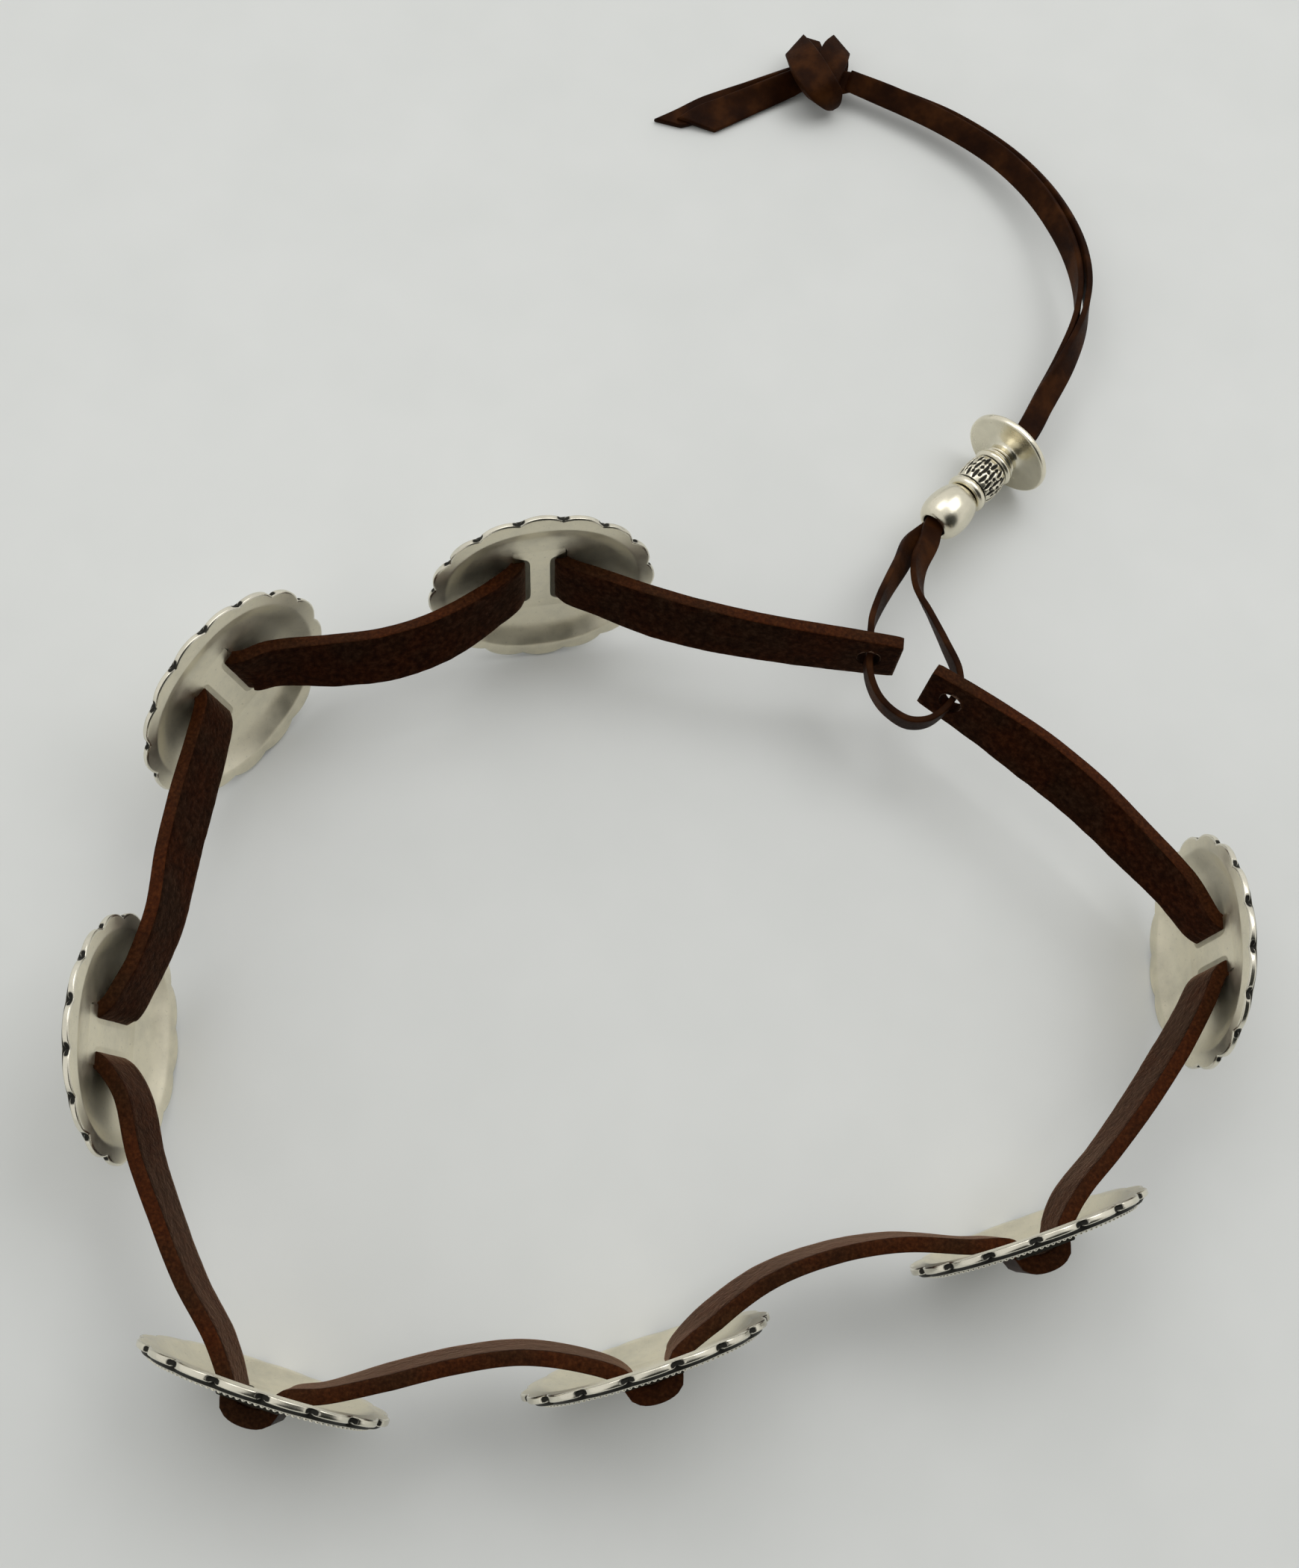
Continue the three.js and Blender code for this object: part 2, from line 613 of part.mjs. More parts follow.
// Raised leaf-shaped bars round the barrel.
function addLeaves(body, radius, barrel) {
  const half = (barrel(0.9) - barrel(0.1)) / 2;
  const wide = (Math.PI * radius) / LEAF_COUNT * 0.62;
  let solid = body;
  for (let i = 0; i < LEAF_COUNT; i += 1) {
    const leaf = new THREE.CylinderGeometry(wide, wide, 1, 4);
    leaf.scale(1, 1, half / wide);
    leaf.rotateZ(Math.PI / 2);
    leaf.rotateY(Math.PI / 2);
    leaf.rotateX(Math.PI / 2);
    leaf.translate(0, barrel(0.5), radius - 0.5);
    leaf.rotateY((2 * Math.PI * i) / LEAF_COUNT);
    solid = solid.add(toSolid(leaf));
  }
  return solid;
}

function discBead() {
  const neck = DISC_NECK_DIAMETER / 2;
  const radius = DISC_DIAMETER / 2;
  const back = DISC_NECK_LENGTH;
  const face = DISC_NECK_LENGTH + DISC_THICKNESS;
  return turnedBead([
    [0, neck * 0.94],
    [back * 0.4, neck],
    [back * 0.8, neck * 0.9],
    [back + DISC_THICKNESS * 0.2, neck * 1.3],
    [back + DISC_THICKNESS * 0.1, radius * 0.94],
    [back + DISC_THICKNESS * 0.5, radius],
    [face - DISC_THICKNESS * 0.1, radius * 0.94],
    [face - DISC_THICKNESS * 0.2, radius * 0.6],
    [face, neck * 1.1],
    [face, neck * 0.9],
  ], 24);
}

// Threads the beads on the line that the paired lace takes from the smooth bead's mouth to the
// disc, which stands on the floor.
function placeBeads() {
  const mouth = new THREE.Vector3(LACE_PAIR[0].x, LACE_PAIR[0].y, LACE_PAIR[0].z);
  const disc = new THREE.Vector3(LACE_PAIR[2].x, LACE_PAIR[2].y, DISC_DIAMETER / 2);
  const axis = disc.clone().sub(mouth).normalize();
  const turn = new THREE.Quaternion().setFromUnitVectors(new THREE.Vector3(0, 1, 0), axis);
  const discStart = mouth.distanceTo(disc) - DISC_NECK_LENGTH - DISC_THICKNESS / 2;
  const patternedStart = discStart - CLEARANCE - PATTERNED_BEAD_LENGTH;
  const smoothStart = patternedStart - CLEARANCE - SMOOTH_BEAD_LENGTH;
  return [
    ['bead_smooth', smoothBead(), smoothStart],
    ['bead_patterned', patternedBead(), patternedStart],
    ['bead_disc', discBead(), discStart],
  ].map(([name, solid, start]) => {
    const mesh = solidMesh(name, solid, silver);
    mesh.quaternion.copy(turn);
    mesh.position.copy(mouth).addScaledVector(axis, start);
    return mesh;
  });
}

// The folds' two corners, an outline in plan as shares of the knot's width, leaning back.
function foldCorners(x, y) {
  const outline = KNOT_FOLDS.map((row) => new THREE.Vector2(row.across, row.back));
  outline.forEach((point) => point.multiplyScalar(KNOT.width));
  const depth = KNOT_HEIGHT * 0.4;
  const flat = new THREE.ExtrudeGeometry(new THREE.Shape(outline), { depth, bevelEnabled: false });
  flat.translate(0, 0, -depth / 2);
  flat.rotateX(THREE.MathUtils.degToRad(KNOT.foldLean));
  flat.translate(x, y, KNOT_HEIGHT * 0.56);
  return toSolid(flat);
}

// One loose tip: a strip with a slanting cut, lying from the knot to its point.
function makeTip({ from, to }) {
  const run = new THREE.Vector3(to.x - from.x, to.y - from.y, to.z - from.z);
  const reach = Math.hypot(run.x, run.y);
  const w = LACE_WIDTH / 2;
  const shape = new THREE.Shape([
    new THREE.Vector2(0, -w),
    new THREE.Vector2(reach, -w),
    new THREE.Vector2(reach - TIP_CUT, w),
    new THREE.Vector2(0, w),
  ]);
  const strip = new THREE.ExtrudeGeometry(shape, { depth: LACE_THICKNESS, bevelEnabled: false });
  strip.rotateY(Math.atan2(-run.z, reach));
  strip.rotateZ(Math.atan2(run.y, run.x));
  strip.translate(from.x, from.y, from.z);
  return toSolid(strip);
}

// The knot: a bight wrapped round the lace, two folded corners on its far side and the two tips.
function makeKnot() {
  const { x, y } = KNOT;
  const wrap = new THREE.SphereGeometry(1, 12, 8);
  wrap.scale(KNOT.thickness / 2, KNOT.wrapLength / 2, KNOT_HEIGHT / 2);
  wrap.rotateZ(THREE.MathUtils.degToRad(KNOT.wrapTurn));
  wrap.translate(x, y, KNOT_HEIGHT / 2);
  const core = new THREE.BoxGeometry(KNOT.width * 0.8, LACE_WIDTH, KNOT_HEIGHT / 2);
  core.rotateZ(THREE.MathUtils.degToRad(KNOT.wrapTurn / 2));
  core.translate(x - 2.4, y + 1, KNOT_HEIGHT * 0.42);
  return toSolid(wrap)
    .add(foldCorners(x - 1.8, y + 3.6))
    .add(toSolid(core))
    .add(makeTip(TIPS.long))
    .add(makeTip(TIPS.short));
}

const concho = makeConcho();
const conchos = CONCHOS.map((place, index) => placeConcho(place, index, concho));

const belt = new THREE.Group();
belt.add(...conchos.map(({ mesh }) => mesh));
belt.add(solidMesh('strap', makeStrap(conchos), strapLeather));

const closure = new THREE.Group();
closure.add(solidMesh('lace_start', makeLace(LACE_FROM_START_HOLE, -1), laceLeather));
closure.add(solidMesh('lace_end', makeLace(LACE_FROM_END_HOLE, 1), laceLeather));
closure.add(solidMesh('lace_knot', makeKnot(), laceLeather));
closure.add(...placeBeads());

const group = new THREE.Group();
group.add(belt, closure);

export default group;
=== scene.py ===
# %% [markdown]
# # A concho belt standing on its edge
#
# The belt is a leather strap with seven oval silver conchos threaded on it. It stands on its
# edge in an open loop. A flat lace ties the strap's two ends together, runs doubled through
# two beads and a disc, and ends in a knot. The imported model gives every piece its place, so
# this script only makes the surfaces finer and gives them their finish. All the work is done
# in metres, and MM turns a size in millimetres into metres.

import math

import bpy
import numpy as np
from mathutils import Matrix, Vector


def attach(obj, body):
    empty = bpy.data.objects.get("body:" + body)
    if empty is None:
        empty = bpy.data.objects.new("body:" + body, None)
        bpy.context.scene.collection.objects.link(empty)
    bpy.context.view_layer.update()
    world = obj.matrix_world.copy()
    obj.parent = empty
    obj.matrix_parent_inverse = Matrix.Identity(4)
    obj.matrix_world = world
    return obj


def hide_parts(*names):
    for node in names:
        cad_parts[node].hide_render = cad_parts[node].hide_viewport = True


MM = 0.001
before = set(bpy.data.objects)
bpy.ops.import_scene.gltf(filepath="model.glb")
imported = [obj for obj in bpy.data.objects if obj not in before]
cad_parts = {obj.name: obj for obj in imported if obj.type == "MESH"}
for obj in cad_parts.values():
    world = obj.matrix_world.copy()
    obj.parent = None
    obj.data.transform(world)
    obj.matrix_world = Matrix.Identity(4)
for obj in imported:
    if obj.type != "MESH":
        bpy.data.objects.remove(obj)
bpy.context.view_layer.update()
print("nodes:", ", ".join(sorted(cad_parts)))

# %% [markdown]
# ## The camera
#
# The photograph looks down on the belt from about 20 degrees off straight down, and the picture
# is turned a little. A camera's view is easiest to place by its own two turns: first it tips up
# from looking straight down, then it rolls about its line of sight. The place and the focal
# length came from the ovals of the conchos' rims, whose true shape is known to be the same.

# %% Camera
PHOTO_WIDTH, PHOTO_HEIGHT = 1740, 2100
FOCAL_PIXELS = 2625
CAMERA_PLACE = Vector((-16.7, -117.7, 495.0)) * MM
CAMERA_TIP = math.radians(20.46)
CAMERA_ROLL = math.radians(13.74)
SENSOR = 36.0

camera_data = bpy.data.cameras.new("photo_camera")
camera_data.sensor_width = SENSOR
camera_data.lens = SENSOR * FOCAL_PIXELS / max(PHOTO_WIDTH, PHOTO_HEIGHT)
camera_data.clip_start = 0.01
camera = bpy.data.objects.new("photo_camera", camera_data)
camera.matrix_world = (
    Matrix.Translation(CAMERA_PLACE)
    @ Matrix.Rotation(CAMERA_TIP, 4, "X")
    @ Matrix.Rotation(CAMERA_ROLL, 4, "Z")
)
bpy.context.scene.collection.objects.link(camera)
bpy.context.scene.camera = camera
print(f"lens {camera_data.lens:.1f} mm, {CAMERA_PLACE.z / MM:.0f} mm above the floor")

# %% [markdown]
# ## Bands
#
# The strap and the lace are both bands: a flat section carried along a line while it turns.
# Blender's curve bevel can't choose which way a flat section faces at each point, so the bands
# are swept here as meshes. A station holds a point, the way the band runs there, the direction
# of its width, and how wide it is. The section is a rectangle with round corners.


# %% Helpers for bands
def unit(v):
    return v / np.linalg.norm(v, axis=-1, keepdims=True)


def smooth_line(points, per_gap):
    """Points on a centripetal Catmull-Rom curve, and the share of the list where each lies."""
    p = np.array(points, float)
    p = np.vstack([2 * p[0] - p[1], p, 2 * p[-1] - p[-2]])
    line, place = [], []
    for i in range(1, len(p) - 2):
        steps = per_gap[i - 1]
        spans = [max(np.linalg.norm(p[i + k] - p[i + k - 1]), 1e-6) ** 0.5 for k in (0, 1, 2)]
        knots = np.cumsum([0] + spans)
        for j in range(steps + (i == len(p) - 3)):
            share = j / steps
            t = knots[1] + share * (knots[2] - knots[1])
            a = [
                ((knots[k + 1] - t) * p[i - 1 + k] + (t - knots[k]) * p[i + k]) / (knots[k + 1] - knots[k])
                for k in range(3)
            ]
            b = [
                ((knots[k + 2] - t) * a[k] + (t - knots[k]) * a[k + 1]) / (knots[k + 2] - knots[k])
                for k in range(2)
            ]
            line.append(((knots[2] - t) * b[0] + (t - knots[1]) * b[1]) / (knots[2] - knots[1]))
            place.append(i - 1 + share)
    return np.array(line), np.array(place)


def along_line(line):
    return unit(np.gradient(line, axis=0))


def rounded_section(width, thickness, ease, corner_steps=3, face_steps=6):
    """Points of a flat section as (out of the face, across the width) pairs, in millimetres."""
    w, t = width / 2, thickness / 2
    points = []
    for corner, (a, b) in enumerate(((1, 1), (-1, 1), (-1, -1), (1, -1))):
        for k in range(corner_steps + 1):
            angle = math.radians(90 * corner + 90 * k / corner_steps)
            points.append((a * (t - ease) + ease * math.cos(angle), b * (w - ease) + ease * math.sin(angle)))
        if corner % 2:
            start, end = points[-1], (points[-1][0], -points[-1][1])
            for k in range(1, face_steps):
                share = k / face_steps
                points.append((start[0], start[1] + (end[1] - start[1]) * share))
    return np.array(points)


def add_mesh(name, points, faces):
    mesh = bpy.data.meshes.new(name)
    mesh.from_pydata([tuple(p) for p in points], [], faces)
    mesh.validate()
    mesh.polygons.foreach_set("use_smooth", [True] * len(mesh.polygons))
    piece = bpy.data.objects.new(name, mesh)
    bpy.context.scene.collection.objects.link(piece)
    return piece


def sweep_points(line, across, width, section):
    """Carries the section along the line. Returns the points as stations x section x 3."""
    run = along_line(line)
    side = unit(across - (across * run).sum(1, keepdims=True) * run)
    face = np.cross(side, run)
    out = section[None, :, 0, None] * face[:, None, :]
    wide = (section[None, :, 1] * width[:, None])[:, :, None] * side[:, None, :]
    return line[:, None, :] + out + wide


def skin_faces(rows, count, closed=False):
    """Four-sided faces between rows of points. Each row is a loop, and closed joins last to first."""
    faces = []
    for i in range(rows if closed else rows - 1):
        j = (i + 1) % rows
        for k in range(count):
            m = (k + 1) % count
            faces.append((i * count + k, i * count + m, j * count + m, j * count + k))
    return faces


def sweep_faces(stations, count):
    faces = skin_faces(stations, count)
    last = (stations - 1) * count
    faces.append(tuple(reversed(range(count))))
    faces.append(tuple(last + j for j in range(count)))
    return faces


# %% [markdown]
# ## The lace
#
# One flat lace joins the strap's ends. It is pulled through both end holes, and its two halves
# run face to face through the beads to the knot. The route is the model's own list of points,
# so that the lace lies where the model has it. tilt is how far the width leans from upright
# towards the right-hand side of the way the lace runs, and width is a share of the full
# width, which is less where a hole or a bead gathers the leather. The lace is made as two
# halves that meet inside the strap's first hole, because a cord here is one open line.

# %% Route of the lace
LACE_WIDTH = 7.0
LACE_THICKNESS = 1.7
CLEARANCE = 0.3

# x, y, z in millimetres, tilt in degrees, share of the width
FROM_START_HOLE = [
    (31.3, 107.7, 26.9, 0, 0.76), (31.0, 110.7, 26.7, -2, 0.76), (30.5, 116.1, 26.3, -10, 0.95),
    (31.5, 122.9, 24.9, -18, 0.9), (33.4, 130.7, 22.5, -28, 0.85), (35.7, 138.9, 19.6, -40, 0.85),
    (37.9, 147.9, 15.8, -60, 0.85),
]
FROM_END_HOLE = [
    (31.4, 107.4, 27.0, 0, 0.76), (31.7, 104.2, 27.0, 0, 0.76), (33.1, 100.2, 26.3, 4, 0.95),
    (36.3, 95.9, 25.4, 6, 1), (40.5, 93.0, 25.0, 6, 1), (45.5, 91.6, 24.9, 4, 1),
    (50.3, 92.9, 25.8, 2, 0.95), (54.0, 97.1, 27.0, 0, 0.76), (55.3, 100.3, 27.0, 0, 0.76),
    (56.4, 103.4, 26.9, 0, 0.76), (55.2, 108.3, 26.7, -2, 0.95), (50.9, 115.9, 25.4, -8, 0.95),
    (45.9, 124.7, 23.0, -16, 0.9), (41.7, 132.3, 20.6, -26, 0.9), (40.7, 140.7, 18.9, -44, 0.9),
    (42.4, 149.5, 16.7, -72, 0.85),
]
# the last number of these rows opens the gap between the two halves a little
PAIR = [
    (43.3, 156.7, 14.0, -90, 0.8, 0), (51.8, 171.4, 13.4, -90, 0.8, 0),
    (60.1, 185.9, 12.9, -90, 0.8, 0), (64.0, 193.1, 12.9, -82, 0.9, 0.2),
    (67.5, 205.4, 13.2, -64, 1, 0.3), (71.2, 219.0, 14.2, -42, 1, 0.4),
    (73.3, 232.7, 15.0, -20, 1, 0.4), (72.5, 244.7, 15.0, -2, 1, 0.4),
    (68.9, 256.3, 14.2, 14, 1, 0.3), (62.7, 267.9, 12.6, 28, 1, 0.3),
    (53.7, 279.5, 10.6, 39, 1, 0.3), (41.3, 289.9, 8.6, 47, 1, 0.3),
    (24.1, 298.1, 7.2, 51, 1, 0.3), (5.7, 302.9, 6.4, 51, 1, 0), (-8.6, 305.6, 6.4, 50, 0.9, 0),
]
# how far each half is shifted across its face where the gap is open, so that both are seen
ASIDE = 0.5
ASIDE_GAP = 0.3


# %% Sweep the two halves
def lace_line(own, side, steps=8):
    """The line, width directions and widths of one half. side is 1 for the upper one in the beads."""
    rows = [row + (None,) for row in own] + PAIR
    points = np.array([row[:3] for row in rows], float)
    before = np.vstack([points[:1], points[:-1]])
    after = np.vstack([points[1:], points[-1:]])
    run = unit(after - before)
    up = np.array([0.0, 0.0, 1.0])
    right = unit(np.cross(run, up))
    tilt = np.radians([row[3] for row in rows])[:, None]
    across = np.cos(tilt) * up + np.sin(tilt) * right
    face = unit(np.cross(run, across))
    paired = [row[5] is not None for row in rows]
    gaps = [row[5] or 0 for row in rows]
    shift = np.array([p * (LACE_THICKNESS + CLEARANCE + gap) / 2 for p, gap in zip(paired, gaps)])
    aside = np.array([ASIDE * min(1, gap / ASIDE_GAP) for gap in gaps])
    points = points + side * (shift[:, None] * face + aside[:, None] * across)
    line, place = smooth_line(points, [steps] * (len(points) - 1))
    rank = np.arange(len(rows))
    across = np.stack([np.interp(place, rank, across[:, k]) for k in range(3)], 1)
    width = np.interp(place, rank, [row[4] for row in rows])
    return line, unit(across), width


def make_lace(name, own, side):
    line, across, width = lace_line(own, side)
    section = rounded_section(LACE_WIDTH, LACE_THICKNESS, 0.4)
    points = sweep_points(line, across, width, section)
    piece = add_mesh(name, points.reshape(-1, 3) * MM, sweep_faces(len(line), len(section)))
    length = np.linalg.norm(np.diff(line, axis=0), axis=1).sum()
    print(f"{name}: {length:.0f} mm long, {len(piece.data.polygons)} faces")
    return piece, line


lace_start, lace_start_line = make_lace("lace_start_leather", FROM_START_HOLE, -1)
lace_end, lace_end_line = make_lace("lace_end_leather", FROM_END_HOLE, 1)


# %% [markdown]
# ## The knot and the tips
#
# Past the beads the two halves are tied in one overhand knot. Tied in flat leather, such a knot
# is a few flat folds: one bight wraps diagonally over the others and rolls under in front, two
# folds end in pointed corners at the back, and the doubled lace comes in under the wrap. Each
# fold here is a band given by its two edges, so that its ends can be cut or folded at any slant.
# A row holds a point of one edge and the point across from it on the other.

# %% Folds of the knot
WRAP = [
    (-28.8, 307.3, 7.2, -24.7, 316.7, 7.4), (-27.3, 302.8, 9.4, -21.4, 311.6, 10.0),
    (-24.9, 298.4, 10.4, -18.2, 306.9, 11.6), (-22.1, 295.1, 10.4, -15.2, 303.0, 12.0),
    (-19.1, 293.3, 9.0, -12.5, 300.3, 11.4), (-16.0, 293.6, 6.6, -10.5, 299.6, 9.0),
    (-14.1, 294.9, 4.6, -10.0, 298.7, 6.4), (-12.4, 296.8, 3.0, -10.4, 298.6, 3.8),
]
RIGHT_FOLD = [
    (-16.9, 318.9, 7.8, -10.3, 313.3, 7.4), (-18.7, 314.3, 9.4, -10.4, 308.6, 9.0),
    (-19.4, 309.6, 10.0, -10.8, 304.2, 9.6), (-19.2, 306.3, 9.0, -11.5, 300.8, 8.6),
]
RIGHT_UNDER = [
    (-16.6, 320.8, 4.8, -10.1, 315.2, 4.4), (-16.5, 316.4, 4.2, -9.5, 312.1, 3.6),
    (-16.9, 312.3, 3.4, -10.1, 306.8, 2.6),
]
LEFT_UNDER = [
    (-24.7, 316.9, 6.6, -19.8, 316.2, 7.0), (-22.3, 312.1, 7.4, -17.4, 311.3, 7.6),
    (-20.1, 309.0, 7.0, -15.6, 307.6, 7.2),
]
TAIL_IN = [
    (-6.4, 307.9, 8.1, -6.6, 303.2, 4.5), (-9.8, 307.4, 8.0, -9.9, 301.7, 4.0),
    (-13.8, 307.6, 7.4, -13.1, 300.3, 3.9), (-17.2, 307.6, 6.4, -16.4, 299.8, 4.2),
]
SHORT_TIP = [
    (-23.7, 306.1, 6.6, -19.9, 302.8, 3.0), (-27.8, 303.4, 6.4, -22.6, 300.3, 1.6),
    (-33.9, 298.8, 5.6, -27.6, 295.7, 0.9), (-40.0, 294.1, 4.8, -33.1, 290.4, 0.9),
    (-47.1, 288.9, 3.6, -39.4, 284.3, 0.9), (-52.0, 285.4, 2.8, -44.2, 279.8, 0.9),
    (-56.9, 279.7, 2.2, -44.7, 279.4, 0.9),
]
LONG_TIP = [
    (-24.0, 308.1, 5.6, -20.5, 305.7, 1.5), (-27.8, 305.3, 5.6, -24.0, 304.4, 1.2),
    (-34.2, 301.1, 4.8, -29.7, 299.6, 0.9), (-40.3, 297.2, 3.8, -35.8, 294.8, 0.9),
    (-47.6, 292.3, 2.8, -43.3, 288.8, 0.9), (-52.3, 288.9, 2.0, -47.9, 283.2, 0.9),
    (-58.1, 283.4, 1.2, -53.8, 278.8, 0.9), (-63.7, 278.2, 0.9, -54.9, 278.2, 0.9),
]


def edged_band(rows, thickness, steps=6, ease=0.5):
    """A band between two edges. Its face is square to both the edges' line and the way it runs."""
    rows = np.array(rows, float)
    count = [steps] * (len(rows) - 1)
    left, _ = smooth_line(rows[:, :3], count)
    right, _ = smooth_line(rows[:, 3:], count)
    middle, half = (left + right) / 2, (right - left) / 2
    face = unit(np.cross(unit(half), along_line(middle)))
    turned = rounded_section(2 + 2 * ease, thickness, ease)
    out = turned[None, :, 0, None] * face[:, None, :]
    reach = np.linalg.norm(half, axis=1)
    share = np.clip(turned[None, :, 1], -1, 1) * (1 - ease / reach[:, None])
    lip = np.sign(turned[:, 1]) * np.maximum(np.abs(turned[:, 1]) - 1, 0)
    wide = share[:, :, None] * half[:, None, :] + lip[None, :, None] * unit(half)[:, None, :]
    points = middle[:, None, :] + out + wide
    return points.reshape(-1, 3), sweep_faces(len(middle), len(turned))


def join_parts(parts):
    """Puts parts, each of points and faces, into one array of points and one list of faces."""
    points, faces, start = [], [], 0
    for part_points, part_faces in parts:
        points.append(part_points)
        faces += [tuple(start + k for k in face) for face in part_faces]
        start += len(part_points)
    return np.concatenate(points), faces


# how many layers of pressed lace each fold is thick
KNOT_FOLDS = [(WRAP, 1.8), (RIGHT_FOLD, 1.6), (RIGHT_UNDER, 1), (LEFT_UNDER, 1)]
KNOT_FOLDS += [(TAIL_IN, 1.6), (SHORT_TIP, 1), (LONG_TIP, 1)]
points, faces = join_parts([edged_band(rows, LACE_THICKNESS * layers) for rows, layers in KNOT_FOLDS])
knot = add_mesh("knot_leather", points * MM, faces)
print(f"knot {len(knot.data.polygons)} faces")

# %% [markdown]
# ## The beads
#
# Three turned silver pieces slide on the doubled lace: a smooth barrel, a barrel with leaf-shaped
# marks between two collars, and a wide disc on a short neck, which stands on the floor and holds
# the other two up. Turned pieces are lathes: a profile of distance along and radius goes once
# round the axis. The bore is part of the profile, so each bead is really drilled.

# %% Where the beads are threaded
BEAD_BORE = 7.3
SMOOTH_BEAD = (13.4, 13.4)
PATTERNED_BEAD = (15.6, 12.6)
COLLAR = (3.0, 12.0)
DISC = (2.4, 25.8)
DISC_NECK = (3.4, 9.6)

mouth = np.array(PAIR[0][:3])
disc_middle = np.array([PAIR[2][0], PAIR[2][1], DISC[1] / 2])
thread = unit(disc_middle - mouth)
disc_start = np.linalg.norm(disc_middle - mouth) - DISC_NECK[0] - DISC[0] / 2
patterned_start = disc_start - CLEARANCE - PATTERNED_BEAD[0]
smooth_start = patterned_start - CLEARANCE - SMOOTH_BEAD[0]
bead_turn = Vector(thread).to_track_quat("Z", "Y").to_matrix().to_4x4()
print("beads start at", np.round([smooth_start, patterned_start, disc_start], 1), "mm from the mouth")


# %% Lathe
SHARP_ANGLE = math.radians(50)


def lathe(profile, sides):
    """Turns (along, radius) pairs round the axis into one closed ring-shaped skin."""
    points = []
    for along, radius in profile:
        for k in range(sides):
            turn = 2 * math.pi * k / sides
            points.append((radius * math.cos(turn), radius * math.sin(turn), along))
    return np.array(points), skin_faces(len(profile), sides, closed=True)


def through_stops(stops, steps):
    """More stops on a smooth curve through the given ones."""
    line, _ = smooth_line([(a, r, 0) for a, r in stops], [steps] * (len(stops) - 1))
    return [(a, r) for a, r, _ in line]


def set_darkness(piece, values):
    """Stores how dark each point is, for the silver finish, and keeps the sharp corners sharp."""
    tone = piece.data.attributes.new("darkness", "FLOAT", "POINT")
    tone.data.foreach_set("value", values.astype(np.float32))
    piece.data.set_sharp_from_angle(angle=SHARP_ANGLE)


def place_bead(name, node, points, faces, start, darkness=None):
    bead = add_mesh(name, points * MM, faces)
    bead.matrix_world = Matrix.Translation(Vector(mouth + thread * start) * MM) @ bead_turn
    set_darkness(bead, np.zeros(len(points)) if darkness is None else darkness)
    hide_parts(node)
    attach(bead, "root")
    print(f"{name}: {len(faces)} faces")
    return bead


# %% Smooth bead
length, radius = SMOOTH_BEAD[0], SMOOTH_BEAD[1] / 2
bore = BEAD_BORE / 2
# shares of the length and of the radius
outside = [(0.0, 0.6), (0.025, 0.69), (0.1, 0.84), (0.24, 0.955), (0.42, 1.0), (0.6, 0.985), (0.78, 0.92)]
outside += [(0.9, 0.83), (0.97, 0.75), (0.995, 0.67)]
profile = through_stops([(a * length, r * radius) for a, r in outside], 5)
profile = [(0.25, bore)] + profile + [(length, bore + 0.3), (length - 0.3, bore)]
smooth_bead = place_bead("smooth_bead_silver", "bead_smooth", *lathe(profile, 64), smooth_start)

# %% [markdown]
# The patterned bead's barrel carries rows of leaf-shaped marks, cut in and blackened. The barrel
# is a fine lathe whose points are pushed in by a pattern given here: for each mark, a pointed
# oval in the plane of angle and length. The same pattern sets the darkness that the finish uses.

# %% Patterned bead
# place along the barrel, half length, half width (both shares), turn of the row (share of a mark)
MARK_ROWS = [(0.2, 0.17, 0.014, 0.0), (0.5, 0.19, 0.013, 0.5), (0.8, 0.17, 0.014, 0.0)]
MARK_ROWS += [(0.5, 0.07, 0.014, 0.0), (0.24, 0.08, 0.012, 0.5), (0.76, 0.08, 0.012, 0.5)]
MARKS_ROUND = 14
MARK_DEPTH = 0.42
MARK_SWAY = 0.06
MARK_SOFT_EDGE = 1.35
BARREL_STEPS = 44
BEAD_SIDES = 168
BARREL_INSET = 0.28
BARREL_TAPER = 0.75


def marks(around, along):
    """How deep the marks are, from 0 to 1, at a share round and a share along the barrel."""
    deep = np.zeros_like(around)
    for place, half_long, half_wide, turn in MARK_ROWS:
        turned = around * MARKS_ROUND - turn + 0.5
        sway = MARK_SWAY * np.sin(9 * along + 2.1 * np.floor(turned))
        off = (turned + sway) % 1 - 0.5
        run = (along - place) / half_long
        wide = half_wide * MARKS_ROUND * np.sqrt(np.clip(1 - run**2, 0, 1)) + 1e-6
        deep = np.maximum(deep, np.clip(MARK_SOFT_EDGE - np.abs(off) / wide, 0, 1) * (np.abs(run) < 1))
    return np.clip(deep * 1.6, 0, 1)


length, radius = PATTERNED_BEAD[0], PATTERNED_BEAD[1] / 2
collar_length, collar = COLLAR[0], COLLAR[1] / 2
near = [(0.25, bore), (0.0, bore + 0.3), (0.05, collar - 0.9), (0.35, collar - 0.3), (0.9, collar)]
near += [(1.7, collar), (2.3, collar - 0.25), (2.65, collar - 0.7), (2.8, collar - 1.2)]
barrel_ends = (collar_length, length - collar_length - 0.6)
barrel_step = (barrel_ends[1] - barrel_ends[0]) / BARREL_STEPS
barrel = [(barrel_ends[0] + barrel_step * k, 0) for k in range(BARREL_STEPS + 1)]
far = [(0.2, collar - 1.2), (0.35, collar - 0.65), (0.7, collar - 0.2), (1.3, collar)]
far += [(1.9, collar - 0.2), (2.2, collar - 0.7), (2.35, collar - 1.1), (2.55, collar - 0.7)]
far += [(2.9, collar - 0.55), (3.25, collar - 0.8), (3.45, collar - 1.3), (3.6, bore + 0.5), (3.5, bore)]
profile = near + barrel + [(barrel_ends[1] + a, r) for a, r in far]
points, faces = lathe([(a, 1.0) for a, _ in profile], BEAD_SIDES)
around = np.tile(np.arange(BEAD_SIDES) / BEAD_SIDES, len(profile))
